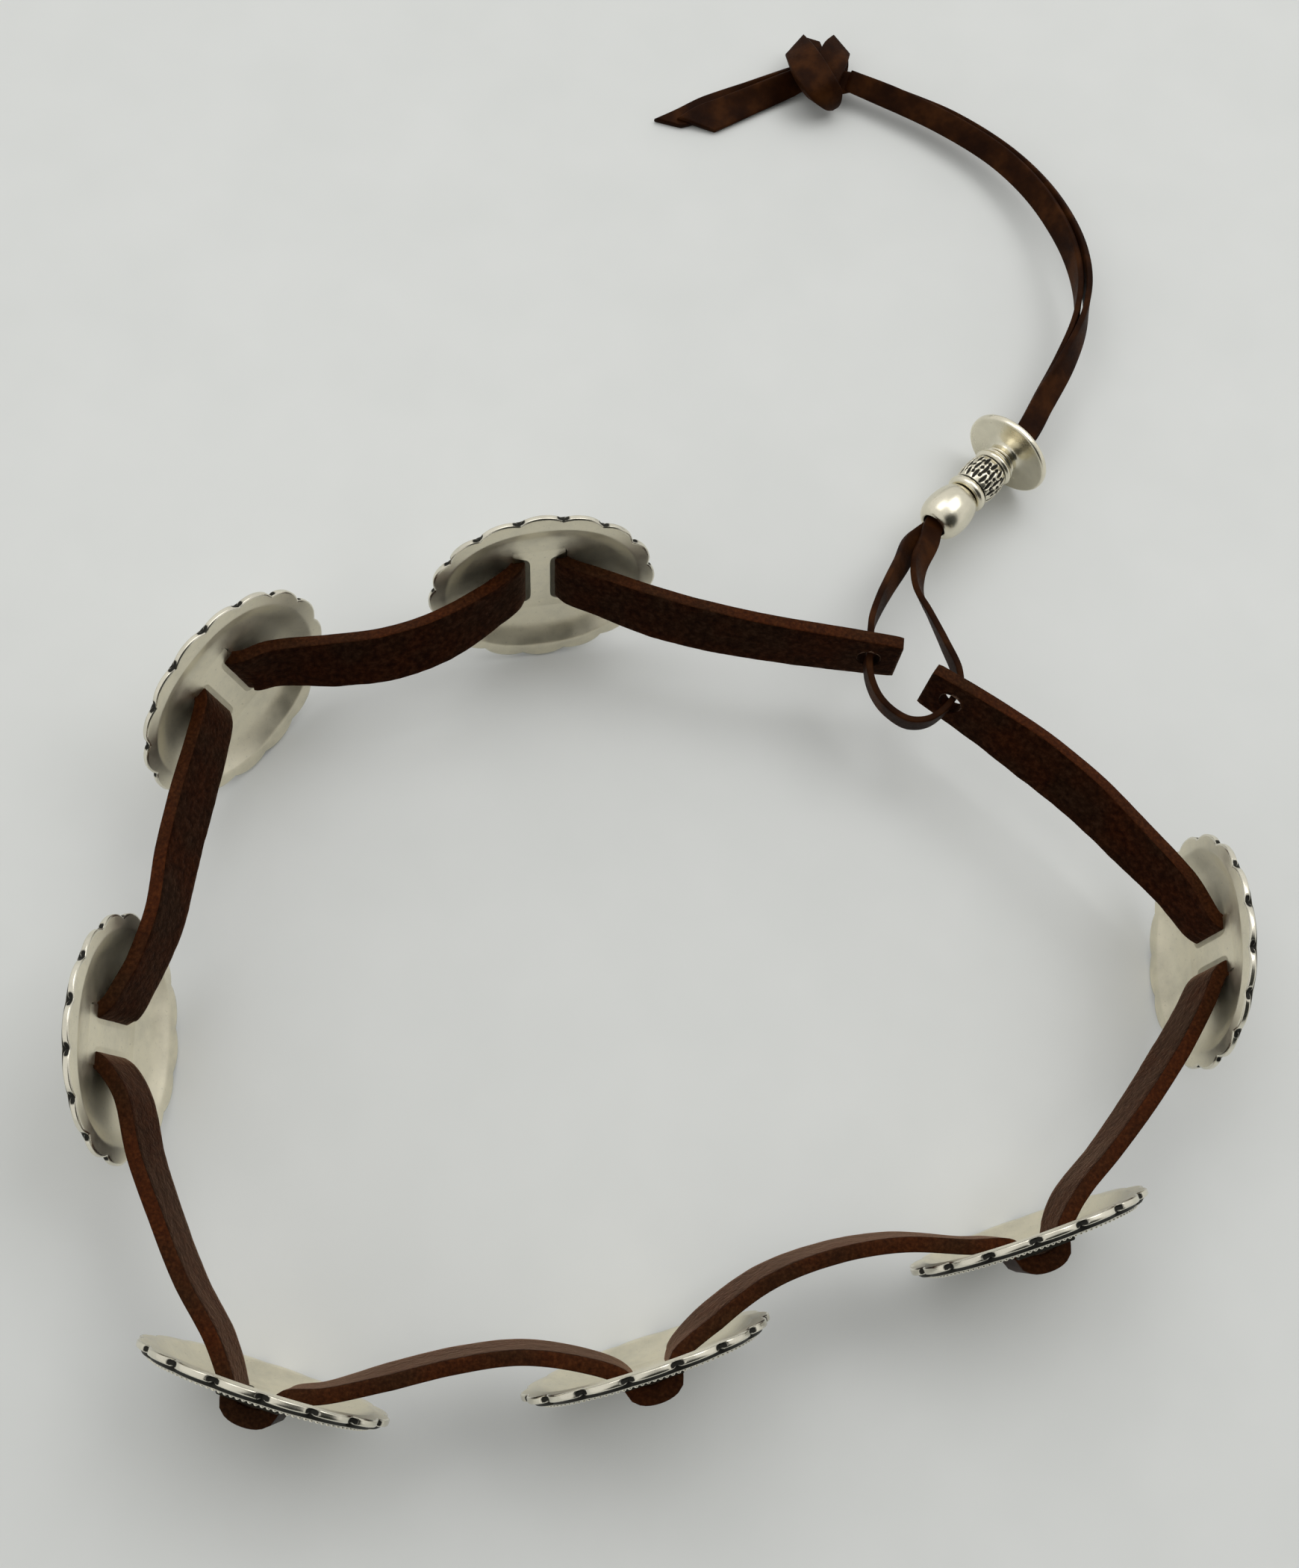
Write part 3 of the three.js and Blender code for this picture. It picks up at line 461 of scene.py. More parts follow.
ring = np.repeat(np.arange(len(profile)), BEAD_SIDES)
radii = np.array([r for _, r in profile])[ring]
along = (ring - len(near)) / BARREL_STEPS
on_barrel = (along >= 0) & (along <= 1)
carved = marks(around, along) * on_barrel
swell = radius - BARREL_INSET - BARREL_TAPER * np.abs(2 * along - 1) ** 3.0
radii = np.where(on_barrel, swell - MARK_DEPTH * carved, radii)
points[:, :2] *= radii[:, None]
barrel_end = len(near) + BARREL_STEPS
groove = np.isin(ring, [len(near) - 2, len(near) - 1, len(near), barrel_end, barrel_end + 1])
dark = np.maximum(carved, groove * 1.0)
patterned_bead = place_bead(
    "patterned_bead_silver", "bead_patterned", points, faces, patterned_start, dark
)

# %% Disc bead
face = DISC_NECK[0] + DISC[0]
neck, radius = DISC_NECK[1] / 2, DISC[1] / 2
outside = [(0.0, neck * 0.86), (0.12, neck * 0.95), (0.5, neck), (1.1, neck * 0.93), (2.0, neck * 0.88)]
outside += [(2.9, neck * 0.96), (3.45, neck * 1.25), (3.62, neck * 1.7), (3.6, radius * 0.8)]
outside += [(3.42, radius * 0.93), (3.4, radius * 0.965), (3.62, radius * 0.99), (4.1, radius)]
outside += [(4.8, radius), (5.3, radius * 0.975), (5.3, radius * 0.93), (4.8, radius * 0.86)]
outside += [(4.7, radius * 0.6), (5.2, neck * 1.25), (5.6, neck * 0.98)]
profile = [(0.2, bore)] + through_stops(outside, 5) + [(face, bore + 0.3), (face - 0.3, bore)]
disc_bead = place_bead("disc_bead_silver", "bead_disc", *lathe(profile, 128), disc_start)

# %% [markdown]
#
# A cord has one start, one length and one far end. This lace leaves the strap's first hole on
# both sides, so it is made as two halves that start there: one goes straight to the beads, the
# other first loops through the strap's second hole. Each half, and the knot, takes the place of
# the model's part. The printed lengths are those of the route, from the hole to the knot,
# because the photograph shows all of it.

# %% The lace in the model's place
def line_length(line):
    return float(np.linalg.norm(np.diff(line, axis=0), axis=1).sum()) * MM


for piece, node, line, riders in (
    (lace_start, "lace_start", lace_start_line, [knot, smooth_bead, patterned_bead, disc_bead]),
    (lace_end, "lace_end", lace_end_line, []),
):
    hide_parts(node)
    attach(piece, "root")
    print(f"{piece.name}: a cord of {line_length(line):.3f} m")
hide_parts("lace_knot")
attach(knot, "root")


# %% [markdown]
# ## Where each concho stands
#
# Each concho faces its own way, leans a little and has rolled a little on the strap. Those three
# turns are listed here, as in the model. Its place is then read from the imported model: seen
# along its own directions, a concho's middle is halfway between its ends, and its back is the
# lowest value along the way it faces.

# %% Conchos' places
# facing, lean (the top tips outward where it is negative) and turn, in degrees
CONCHO_TURNS = [
    (113.0, -13.9, 0), (153.5, -16.5, -10), (191.7, -17.3, -5.8), (265.4, -8.1, 3.5),
    (301.5, -9.8, 4.9), (302.8, -7.4, 2.9), (12.5, -6.7, 0.2),
]


def facing_frame(facing, lean, turn):
    """Three directions of a concho: along the belt, up across it, and out of its front."""
    yaw, tip, roll = (math.radians(a) for a in (facing, lean, turn))
    level = np.array([math.cos(yaw), math.sin(yaw), 0])
    side = np.array([-math.sin(yaw), math.cos(yaw), 0])
    up = np.array([0.0, 0, 1])
    out = level * math.cos(tip) + up * math.sin(tip)
    rise = up * math.cos(tip) - level * math.sin(tip)
    turned_side = side * math.cos(roll) + rise * math.sin(roll)
    turned_rise = rise * math.cos(roll) - side * math.sin(roll)
    return np.array([turned_side, turned_rise, out])


def place_of(node, axes):
    """The point in the middle of a concho's back plane, in millimetres."""
    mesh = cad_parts[node].data
    points = np.empty(len(mesh.vertices) * 3)
    mesh.vertices.foreach_get("co", points)
    local = points.reshape(-1, 3) / MM @ axes.T
    low, high = local.min(0), local.max(0)
    return axes.T @ np.array([(low[0] + high[0]) / 2, (low[1] + high[1]) / 2, low[2]])


conchos = []
for number, turns in enumerate(CONCHO_TURNS, 1):
    axes = facing_frame(*turns)
    conchos.append((f"concho_{number}", axes, place_of(f"concho_{number}", axes)))
    print(conchos[-1][0], "at", np.round(conchos[-1][2], 1))

# %% [markdown]
# ## The strap
#
# The strap is one long band of leather, 16 mm wide and 3.6 mm thick, that stands on nothing: it
# hangs in the conchos. It comes up behind each concho's bar, folds over it and goes back down.
# Between two bars it bows and leans as thick leather does. Each span has a short table: how far
# along the straight line, how far off it towards the loop's middle, both as shares of the span,
# and how much the top leans, in degrees. The model has the same tables, with smaller leans.

# %% Sizes of the strap and of the bar that it folds over
BAR_WIDTH = 5.8
BAR_THICKNESS = 2.2
DISH_DEPTH = 4.1
STRAP_WIDTH = 16.0
STRAP_THICKNESS = 3.6
# the gap over the bar's front, and how far the turns at a fold's foot reach out and back
FOLD_RISE = 0.5
TURN_OUT = 1.9
TURN_BACK = 1.7
# x, y, z of the strap's two ends, and their leans
STRAP_START = (39.1, 108.3, 27.0, -4)
STRAP_END = (48.1, 103.1, 27.0, -8)

# for each span: share along it, share off it, lean in degrees
SPANS = [
    [(0.17, 0.014, -9), (0.33, 0.027, -12), (0.5, 0.033, -16), (0.67, 0.026, -18), (0.83, 0.003, -13)],
    [(0.17, 0.031, -13), (0.33, 0.07, -21), (0.5, 0.073, -24), (0.67, 0.035, -22), (0.83, -0.019, -13)],
    [(0.17, -0.002, -20), (0.33, 0.005, -22), (0.5, 0.017, -21), (0.67, 0.035, -15), (0.83, 0.022, -11)],
    [(0.17, -0.004, -15), (0.33, -0.031, -14), (0.5, -0.042, -12), (0.67, -0.046, -11), (0.83, -0.033, -10)],
    [(0.17, -0.006, -9), (0.33, 0.024, -14), (0.5, 0.054, -14), (0.67, 0.064, -13), (0.83, 0.034, -12)],
    [(0.17, 0.069, -14), (0.33, 0.121, -14), (0.5, 0.13, -13), (0.67, 0.106, -12), (0.83, 0.048, -10)],
    [(0.17, -0.017, -8), (0.33, -0.034, -8), (0.5, -0.044, -10), (0.67, -0.045, -11), (0.83, -0.038, -8)],
    [(0.17, -0.06, -12), (0.33, -0.068, -17), (0.5, -0.072, -22), (0.67, -0.058, -24), (0.83, -0.034, -16)],
]
UP = np.array([0.0, 0.0, 1.0])
strap_offset = BAR_WIDTH / 2 + CLEARANCE + STRAP_THICKNESS / 2


# %% The strap's route
def lean_across(outward, lean):
    tip = math.radians(lean)
    return UP * math.cos(tip) - outward * math.sin(tip)


def in_concho(concho, along, out):
    _, axes, place = concho
    return place + axes[0] * along + axes[2] * out


def fold_over_bar(concho):
    across = concho[1][1]
    bar_front = DISH_DEPTH + BAR_THICKNESS
    rise = FOLD_RISE + STRAP_THICKNESS / 2
    turned = (strap_offset + TURN_OUT, DISH_DEPTH - TURN_BACK)
    turning = (strap_offset + TURN_OUT * 0.2, DISH_DEPTH + BAR_THICKNESS * 0.4)
    stops = [(-turned[0], turned[1]), (-turning[0], turning[1])]
    for k in range(9):
        angle = math.pi * (1 - k / 8)
        stops.append((strap_offset * math.cos(angle), bar_front + rise * math.sin(angle)))
    stops += [turning, turned]
    return [(in_concho(concho, along, out), across) for along, out in stops]


def span_rows(start, end, table):
    line = end - start
    length = math.hypot(line[0], line[1])
    level = np.array([line[0], line[1], 0]) / length
    inward = np.cross(UP, level)
    points = [start + line * at + inward * bow * length for at, bow, _ in table]
    rows = []
    for k, point in enumerate(points):
        before = points[k - 1] if k else start
        after = points[k + 1] if k < len(points) - 1 else end
        run = unit((after - before) * np.array([1, 1, 0]))
        rows.append((point, lean_across(np.cross(run, UP), table[k][2])))
    return rows


def strap_rows():
    bars = [in_concho(concho, 0, DISH_DEPTH) for concho in conchos]
    start, end = np.array(STRAP_START[:3]), np.array(STRAP_END[:3])
    stops = [start, *bars, end]
    first = np.cross(unit((bars[0] - start) * np.array([1, 1, 0])), UP)
    last = np.cross(unit((end - bars[-1]) * np.array([1, 1, 0])), UP)
    rows = [(start, lean_across(first, STRAP_START[3]))]
    for k, table in enumerate(SPANS):
        rows += span_rows(stops[k], stops[k + 1], table)
        if k < len(conchos):
            rows += fold_over_bar(conchos[k])
    return rows + [(end, lean_across(last, STRAP_END[3]))]


STRAP_STEP = 1.1
rows = strap_rows()
gaps = [np.linalg.norm(b[0] - a[0]) for a, b in zip(rows, rows[1:])]
steps = [max(1, round(gap / STRAP_STEP)) for gap in gaps]
strap_line, place = smooth_line([row[0] for row in rows], steps)
rank = np.arange(len(rows))
strap_across = unit(np.stack([np.interp(place, rank, [row[1][k] for row in rows]) for k in range(3)], 1))
strap_length = np.linalg.norm(np.diff(strap_line, axis=0), axis=1).sum()
print(f"strap {strap_length:.0f} mm long in {len(strap_line)} stations")

# %% [markdown]
# The strap's inner side is the flesh side of the hide, rough and a little fuzzy, and its outer
# side is the smooth grain. The cut edges show the hide's thickness. Each side gets a material
# of its own, and the rough side and its edges are also moved a little by noise, so that the
# outline of the leather is not ruler-straight.


# %% Strap mesh
def ripple(points, size, seed):
    """Smooth noise from -1 to 1 for each point, from a sum of turned waves."""
    rng = np.random.default_rng(seed)
    total = np.zeros(len(points))
    for _ in range(14):
        wave = rng.normal(size=3) / size * 2.2
        total += np.sin(points @ wave + rng.uniform(0, 2 * math.pi))
    return total / 14 ** 0.5 / 1.6


def section_sides(section, thickness):
    """For each face between two section points: 0 inner side, 1 outer side, 2 cut edge."""
    middle = (section + np.roll(section, -1, axis=0)) / 2
    limit = thickness / 2 - 0.06
    return np.where(middle[:, 0] > limit, 0, np.where(middle[:, 0] < -limit, 1, 2))


# how much narrower the strap is at a bar and how far that reaches, then how much thicker
PULL_IN = 0.08
PULL_REACH = 12.0
BUNCHING = 0.25
BUNCH_REACH = 8.0
# depth and size of each ripple and its seed, and the share of it that the grain side gets
RIPPLES = [(0.07, 1.6, 3), (0.1, 6.0, 4)]
GRAIN_SHARE = 0.35
strap_section = rounded_section(STRAP_WIDTH, STRAP_THICKNESS, 0.45, corner_steps=3, face_steps=10)
middles = np.array([in_concho(concho, 0, DISH_DEPTH + BAR_THICKNESS) for concho in conchos])
from_bar = np.linalg.norm(strap_line[:, None, :] - middles[None], axis=2).min(1)
# the leather draws in a little where it is pulled through the slots
widths = 1 - PULL_IN * np.exp(-((from_bar / PULL_REACH) ** 2))
# the cut ends are eased
widths[[0, -1]], widths[[1, -2]] = 0.95, 0.99
strap_points = sweep_points(strap_line, strap_across, widths, strap_section)
# and bunches, thicker than elsewhere, where it folds over a bar
nearest = np.linalg.norm(strap_line[:, None, :] - middles[None], axis=2).argmin(1)
outward = np.array([axes[2] for _, axes, _ in conchos])[nearest]
height = ((strap_line - middles[nearest]) * outward).sum(1)
bunch = 1 + BUNCHING * np.clip(height / 2, 0, 1) * (from_bar < BUNCH_REACH)
offsets = strap_points - strap_line[:, None]
upward = (offsets * strap_across[:, None]).sum(2, keepdims=True) * strap_across[:, None]
strap_points = strap_line[:, None] + upward + (offsets - upward) * bunch[:, None, None]
flat = strap_points.reshape(-1, 3)
rough = sum(depth * ripple(flat, size, seed) for depth, size, seed in RIPPLES)
worn = (strap_section[:, 0] > 0).astype(float)[None, :].repeat(len(strap_line), 0).reshape(-1)
direction = unit(flat - np.repeat(strap_line, len(strap_section), axis=0))
flat = flat + direction * (rough * (GRAIN_SHARE + (1 - GRAIN_SHARE) * worn))[:, None]
strap = add_mesh("strap_leather", flat * MM, sweep_faces(len(strap_line), len(strap_section)))
sides = section_sides(strap_section, STRAP_THICKNESS)
strap_sides = np.concatenate([np.tile(sides, len(strap_line) - 1), [2, 2]])
strap.data.polygons.foreach_set("material_index", strap_sides.astype(np.int32))
print(f"strap mesh {len(strap.data.polygons)} faces")

# %% [markdown]
# A punch makes each lace hole: a cylinder is taken out of the strap near its end, straight
# through its thickness. The hole is larger than the gathered lace, as it is on the belt.

# %% Lace holes
LACE_HOLE_DIAMETER = 6.4
LACE_HOLE_INSET = 7.8


def punch(line, across, from_end):
    order = slice(None, None, -1) if from_end else slice(None)
    line, across = line[order], across[order]
    far = np.concatenate([[0], np.cumsum(np.linalg.norm(np.diff(line, axis=0), axis=1))])
    centre = np.array([np.interp(LACE_HOLE_INSET, far, line[:, k]) for k in range(3)])
    index = int(np.searchsorted(far, LACE_HOLE_INSET))
    through = unit(np.cross(across[index], line[index + 1] - line[index - 1]))
    bpy.ops.mesh.primitive_cylinder_add(
        vertices=48,
        radius=LACE_HOLE_DIAMETER / 2 * MM,
        depth=STRAP_THICKNESS * 3 * MM,
        location=Vector(centre) * MM,
    )
    tool = bpy.context.object
    tool.rotation_mode = "QUATERNION"
    tool.rotation_quaternion = Vector(through).to_track_quat("Z", "Y")
    cut = strap.modifiers.new("lace hole", "BOOLEAN")
    cut.object = tool
    cut.solver = "EXACT"
    bpy.context.view_layer.objects.active = strap
    bpy.ops.object.modifier_apply(modifier=cut.name)
    bpy.data.objects.remove(tool)
    return centre


for from_end in (False, True):
    print("lace hole at", np.round(punch(strap_line, strap_across, from_end), 1))
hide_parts("strap")
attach(strap, "root")

# %% [markdown]
# ## The conchos
#
# Each concho is a cast and stamped oval. Seen from behind it has a flat band round its rim, then
# a smooth step into a dish, and a bar left standing between two slots. Seen from the front it
# has a scalloped rim with a dark punch mark in each notch, a dark groove, a fine beaded ring and
# a low dome. A stack of closed rings follows the same outline as the model, with many more
# points: each ring is a mix of the slots' outline and the rim's oval. The heights of the front
# are this script's own, lower than the model's. All conchos share a mesh.

# %% Sizes of a concho
CONCHO_WIDTH = 60.0
CONCHO_HEIGHT = 55.6
SCALLOPS = 16
SCALLOP_DEPTH = 1.3
SLOT_HALF_HEIGHT = STRAP_WIDTH / 2 + 0.4
SLOT_REACH = BAR_WIDTH / 2 + CLEARANCE + STRAP_THICKNESS + 1.3
FLOOR_HALF_HEIGHT = 8.5
FLOOR_REACH = 12.8
FLOOR_INSET = CONCHO_WIDTH / 2 - FLOOR_REACH
SLOT_INSET = CONCHO_WIDTH / 2 - SLOT_REACH
RING_POINTS = SCALLOPS * 26
# the smaller it is, the sharper are the corners of the slots and of the dish's floor
CORNER_POWER = 1 / 3

angles = np.linspace(0, 2 * math.pi, RING_POINTS, endpoint=False)
# 0 on the crest of a scallop and 1 in the notch between two
from_crest = np.abs(np.arcsin(np.sin((angles - math.pi / 2) * SCALLOPS / 2))) / (math.pi / 2)
notch = SCALLOP_DEPTH * from_crest**2.2
# distance from the nearest notch along the rim, in millimetres
from_notch = (1 - from_crest) * math.pi * (CONCHO_WIDTH + CONCHO_HEIGHT) / 4 / SCALLOPS


def outline(inset, lobes):
    """The rim's oval, inset by a distance, with the scallops at a share of their depth."""
    dip = inset + notch * lobes
    reach, rise = CONCHO_WIDTH / 2 - dip, CONCHO_HEIGHT / 2 - dip
    return np.stack([reach * np.cos(angles), rise * np.sin(angles)], 1)


def rounded_box(reach, half_height):
    """A rectangle with round corners and as many points as the rim."""
    x, y = (np.sign(v) * np.abs(v) ** CORNER_POWER for v in (np.cos(angles), np.sin(angles)))
    return np.stack([reach * x, half_height * y], 1)


def dish_ring(inset):
    """A ring inside the flange: the oval gives way to the dish's floor, and that to the slots."""
    floor = rounded_box(FLOOR_REACH, FLOOR_HALF_HEIGHT)
    if inset > FLOOR_INSET:
        share = (inset - FLOOR_INSET) / (SLOT_INSET - FLOOR_INSET)
        return floor * (1 - share) + rounded_box(SLOT_REACH, SLOT_HALF_HEIGHT) * share
    share = 1 - inset / FLOOR_INSET
    return floor * (1 - share) + outline(0, 0) * share


# %% Rings of a concho
# inset from the rim, height over the back plane, share of the scallops, darkness
BACK = [(inset, height, 0, 0.0) for inset, height in (
    (SLOT_INSET, 4.12), (19.4, 4.11), (17.2, 4.05), (15.0, 3.84), (12.0, 3.46), (9.9, 3.06),
    (8.9, 2.74), (8.0, 2.32), (7.0, 1.78), (6.0, 1.2), (5.2, 0.7),
)]
BACK += [
    (4.6, 0.3, 0, 0.04), (4.2, 0.08, 0, 0.04), (3.8, 0.0, 0, 0.0), (3.0, 0.0, 0.15, 0.0),
    (2.0, 0.0, 0.5, 0.0), (1.1, 0.0, 0.85, 0.0), (0.5, 0.02, 1, 0.0), (0.18, 0.1, 1, 0.1),
    (0.04, 0.26, 1, 0.18),
]
RIM = [(inset, height, 1, 0.0) for inset, height in (
    (0, 0.3), (0, 0.5), (0, 0.7), (0, 0.9), (0, 1.1), (0.02, 1.25), (0.06, 1.4), (0.14, 1.54),
    (0.28, 1.66), (0.5, 1.74),
)]
FRONT = [
    (0.75, 1.76, 1, 0.1), (1, 1.8, 0.95, 0.6), (1.2, 1.92, 0.85, 1.0), (1.5, 2.2, 0.7, 1.0),
    (1.8, 2.5, 0.5, 1.0), (2, 2.68, 0.4, 0.4), (2.3, 2.84, 0.25, 0.0), (2.7, 2.9, 0.1, 0.0),
    (3, 2.86, 0, 0.3), (3.3, 2.78, 0, 1.0), (4.5, 2.86, 0, 1.0), (4.8, 3.15, 0, 0.5),
    (5.4, 3.35, 0, 0.0), (7.6, 3.55, 0, 0.0), (9.5, 3.75, 0, 0.0), (12, 4.12, 0, 0.0),
    (15, 4.5, 0, 0.0), (17.2, 4.75, 0, 0.0), (SLOT_INSET - 0.4, 4.9, 0, 0.0),
    (SLOT_INSET, 4.75, 0, 0.0),
]
# the pit in each notch: half its width and height, its middle's height, its soft edge and depth
PIT_WIDTH = 1.45
PIT_HEIGHT = 0.8
PIT_MIDDLE = 1.05
PIT_EDGE = 1.25
PIT_DEPTH = 0.75
# the flute runs in from the pit on the rings above FLUTE_HEIGHT, and fades out at FLUTE_END
FLUTE_WIDTH = 0.55
FLUTE_DEPTH = 0.5
FLUTE_END = 2.4
FLUTE_FADE = 1.2
FLUTE_HEIGHT = 1.45
SCALLOPED_ROWS = RIM + FRONT[:4]
# rings further in than this belong to the dish
DISH_START = 3.75


def concho_rings():
    rings, dark = [], []
    for inset, height, lobes, darkness in BACK + RIM + FRONT:
        flat_ring = outline(inset, lobes) if inset < DISH_START else dish_ring(inset)
        z = np.full(RING_POINTS, height)
        dark_ring = np.full(RING_POINTS, darkness)
        if (inset, height, lobes, darkness) in SCALLOPED_ROWS:
            # a black oval pit in each notch of the rim, and a flute running in from it
            up = (height - PIT_MIDDLE + inset) / PIT_HEIGHT
            pit = np.clip(PIT_EDGE - np.hypot(from_notch / PIT_WIDTH, up), 0, 1)
            dark_ring = np.maximum(dark_ring, np.clip(pit * 5, 0, 1))
            pull = 1 - PIT_DEPTH * np.minimum(pit, 0.5) / np.linalg.norm(flat_ring, axis=1)
            flat_ring = flat_ring * pull[:, None]
            if height > FLUTE_HEIGHT:
                fade = min(1, (FLUTE_END - inset) / FLUTE_FADE)
                flute = np.exp(-((from_notch / FLUTE_WIDTH) ** 2)) * fade
                z = z - FLUTE_DEPTH * np.maximum(flute, 0)
                dark_ring = np.maximum(dark_ring, np.clip(flute * 1.1 - 0.25, 0, 1))
        rings.append(np.column_stack([flat_ring, z]))
        dark.append(dark_ring)
    return rings, dark


# %% The bar and the beaded ring
BEADS_IN_RING = 112
BEAD_RADIUS = 0.62
BEAD_INSET = 4.0
BEAD_FOOT = 2.86
# how far the bar's end flares past its side and past the slot's end
BAR_FLARE = [(0.08, -1.6), (0.4, -0.8), (1.1, -0.2), (2.2, 0.3), (3.6, 0.9), (4.6, 1.8), (4.2, 2.8)]
BAR_EASE = 0.3
BAR_SUNK = 0.3
BAR_THINNED = 0.9
# painted shade: the bar's sides and front are painted black from just above its back, for the shade that
# lies in the slots
BAR_SHADE = 0.25
BAR_SHADE_FALL = 6


def bar_part():
    """The bar between the slots. Its ends flare and sink into the dish, like a casting's."""
    half, edge_y = BAR_WIDTH / 2, SLOT_HALF_HEIGHT
    side = [(half, 0.0), (half, 3.0), (half, 5.4)]
    side += [(half + wide, edge_y + high) for wide, high in BAR_FLARE]
    edge = side + [(-x, y) for x, y in reversed(side)] + [(-x, -y) for x, y in side[1:]]
    edge += [(x, -y) for x, y in reversed(side[1:])]
    edge = np.array(edge)
    back, front = DISH_DEPTH - BAR_SUNK, DISH_DEPTH + BAR_THICKNESS - BAR_THINNED
    levels = [(BAR_EASE, 0), (0.09, 0.09), (0, BAR_EASE)]
    points = []
    for inset, rise in levels:
        points += [(x - math.copysign(inset, x), y, back + rise) for x, y in edge]
    for inset, rise in reversed(levels):
        points += [(x - math.copysign(inset, x), y, front - rise) for x, y in edge]
    count, rows = len(edge), 2 * len(levels)
    faces = skin_faces(rows, count)
    half_count = count // 2
    for start, turn in ((0, -1), ((rows - 1) * count, 1)):
        # strips across the bar close its back and its front
        for k in range(half_count - 1):
            strip = (start + k, start + k + 1, start + count - 2 - k, start + count - 1 - k)
            faces.append(strip[::turn])
    return np.array(points), faces


def bead_part(radius, rounds=8, levels=4):
    """The upper half of a small ball, standing on the front."""
    points = []
    for i in range(levels):
        tip = math.pi / 2 * i / levels
        for k in range(rounds):
            turn = 2 * math.pi * k / rounds
            way = (math.cos(tip) * math.cos(turn), math.cos(tip) * math.sin(turn), math.sin(tip))
            points.append([radius * share for share in way])
    points.append((0, 0, radius))
    faces = skin_faces(levels, rounds)
    top = (levels - 1) * rounds
    faces += [(top + k, top + (k + 1) % rounds, len(points) - 1) for k in range(rounds)]
    faces.append(tuple(reversed(range(rounds))))
    return np.array(points), faces


def bead_places():
    """Places at equal steps round the ring between the groove and the dome."""
    ring = dish_ring(BEAD_INSET)
    closed = np.vstack([ring, ring[:1]])
    far = np.concatenate([[0], np.cumsum(np.linalg.norm(np.diff(closed, axis=0), axis=1))])
    steps = np.linspace(0, far[-1], BEADS_IN_RING, endpoint=False)
    return np.stack([np.interp(steps, far, closed[:, 0]), np.interp(steps, far, closed[:, 1])], 1)


def concho_mesh():
    rings, dark = concho_rings()
    body = (np.concatenate(rings), skin_faces(len(rings), RING_POINTS, closed=True))
    bar = bar_part()
    bead = bead_part(BEAD_RADIUS)
    beads = [(bead[0] + [x, y, BEAD_FOOT], bead[1]) for x, y in bead_places()]
    points, faces = join_parts([body, bar, *beads])
    # painted shade of the slots: the bar is black from just above its back
    bar_painted_shade = np.clip((bar[0][:, 2] - DISH_DEPTH + BAR_SHADE) * BAR_SHADE_FALL, 0, 0.95)
    # each small bead is black round its foot
    bead_dark = (bead[0][:, 2] < 0.1).astype(float)
    piece = add_mesh("concho", points * MM, faces)
    set_darkness(piece, np.concatenate([*dark, bar_painted_shade, np.tile(bead_dark, len(beads))]))
    return piece


BAR_FACES = len(bar_part()[1])

# %% Place the conchos
pattern = concho_mesh()
concho_pieces = []
for name, axes, place in conchos:
    piece = pattern if not concho_pieces else bpy.data.objects.new("copy", pattern.data)
    if concho_pieces:
        bpy.context.scene.collection.objects.link(piece)
    piece.name = f"{name}_silver"
    turn = Matrix(axes.T.tolist()).to_4x4()
    piece.matrix_world = Matrix.Translation(Vector(place) * MM) @ turn
    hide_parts(name)
    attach(piece, "root")
    concho_pieces.append(piece)
print(f"{len(concho_pieces)} conchos of {len(pattern.data.polygons)} faces")


# %% [markdown]
# ## Finishes
#
# Every finish is a small tree of shader nodes. The pattern always comes from the piece's own
# coordinates, so it stays put when the view turns. Sizes of patterns are given as the size of a
# feature in millimetres, and a node's scale is one over that size.


# %% Helpers for finishes
def new_finish(name, color, roughness, metallic=0.0, specular=0.5):
    material = bpy.data.materials.new(name)
    material.use_nodes = True
    tree = material.node_tree
    shader = tree.nodes["Principled BSDF"]
    shader.inputs["Base Color"].default_value = (*color, 1)
    shader.inputs["Roughness"].default_value = roughness
    shader.inputs["Metallic"].default_value = metallic
    shader.inputs["Specular IOR Level"].default_value = specular
    return material, tree, shader


def add_node(tree, kind, values=None, **settings):
    node = tree.nodes.new(kind)
    for name, value in settings.items():
        setattr(node, name, value)
    for name, value in (values or {}).items():
        if isinstance(value, bpy.types.NodeSocket):
            tree.links.new(value, node.inputs[name])
        else:
            node.inputs[name].default_value = value
    return node


def coordinates(tree, stretch=(1, 1, 1)):
    """The piece's own coordinates in millimetres, stretched along its axes."""
    place = add_node(tree, "ShaderNodeTexCoord").outputs["Object"]
    scale = tuple(s / MM for s in stretch)
    return add_node(tree, "ShaderNodeMapping", {"Vector": place, "Scale": scale}).outputs["Vector"]


def noise(tree, vector, size, detail=3.0, rough=0.55):
    values = {"Vector": vector, "Scale": 1 / size, "Detail": detail, "Roughness": rough}
    return add_node(tree, "ShaderNodeTexNoise", values).outputs["Fac"]


def ramp(tree, value, stops):
    """A colour ramp from (place, colour) pairs. A colour may be one grey number."""
    node = add_node(tree, "ShaderNodeValToRGB", {"Fac": value})
    while len(node.color_ramp.elements) < len(stops):
        node.color_ramp.elements.new(0.5)
    for element, (place, color) in zip(node.color_ramp.elements, stops):
        element.position = place
        element.color = (color, color, color, 1) if isinstance(color, (int, float)) else (*color, 1)
    return node.outputs["Color"]


def mix(tree, share, first, second, blend="MIX"):
    """Mixes two colours. Each of the three may be a plain value or another node's output."""
    node = add_node(tree, "ShaderNodeMix", data_type="RGBA", blend_type=blend)
    for socket, value in ((node.inputs[0], share), (node.inputs[6], first), (node.inputs[7], second)):
        if isinstance(value, bpy.types.NodeSocket):
            tree.links.new(value, socket)
        else:
            socket.default_value = value if isinstance(value, (int, float)) else (*value, 1)
    return node.outputs[2]


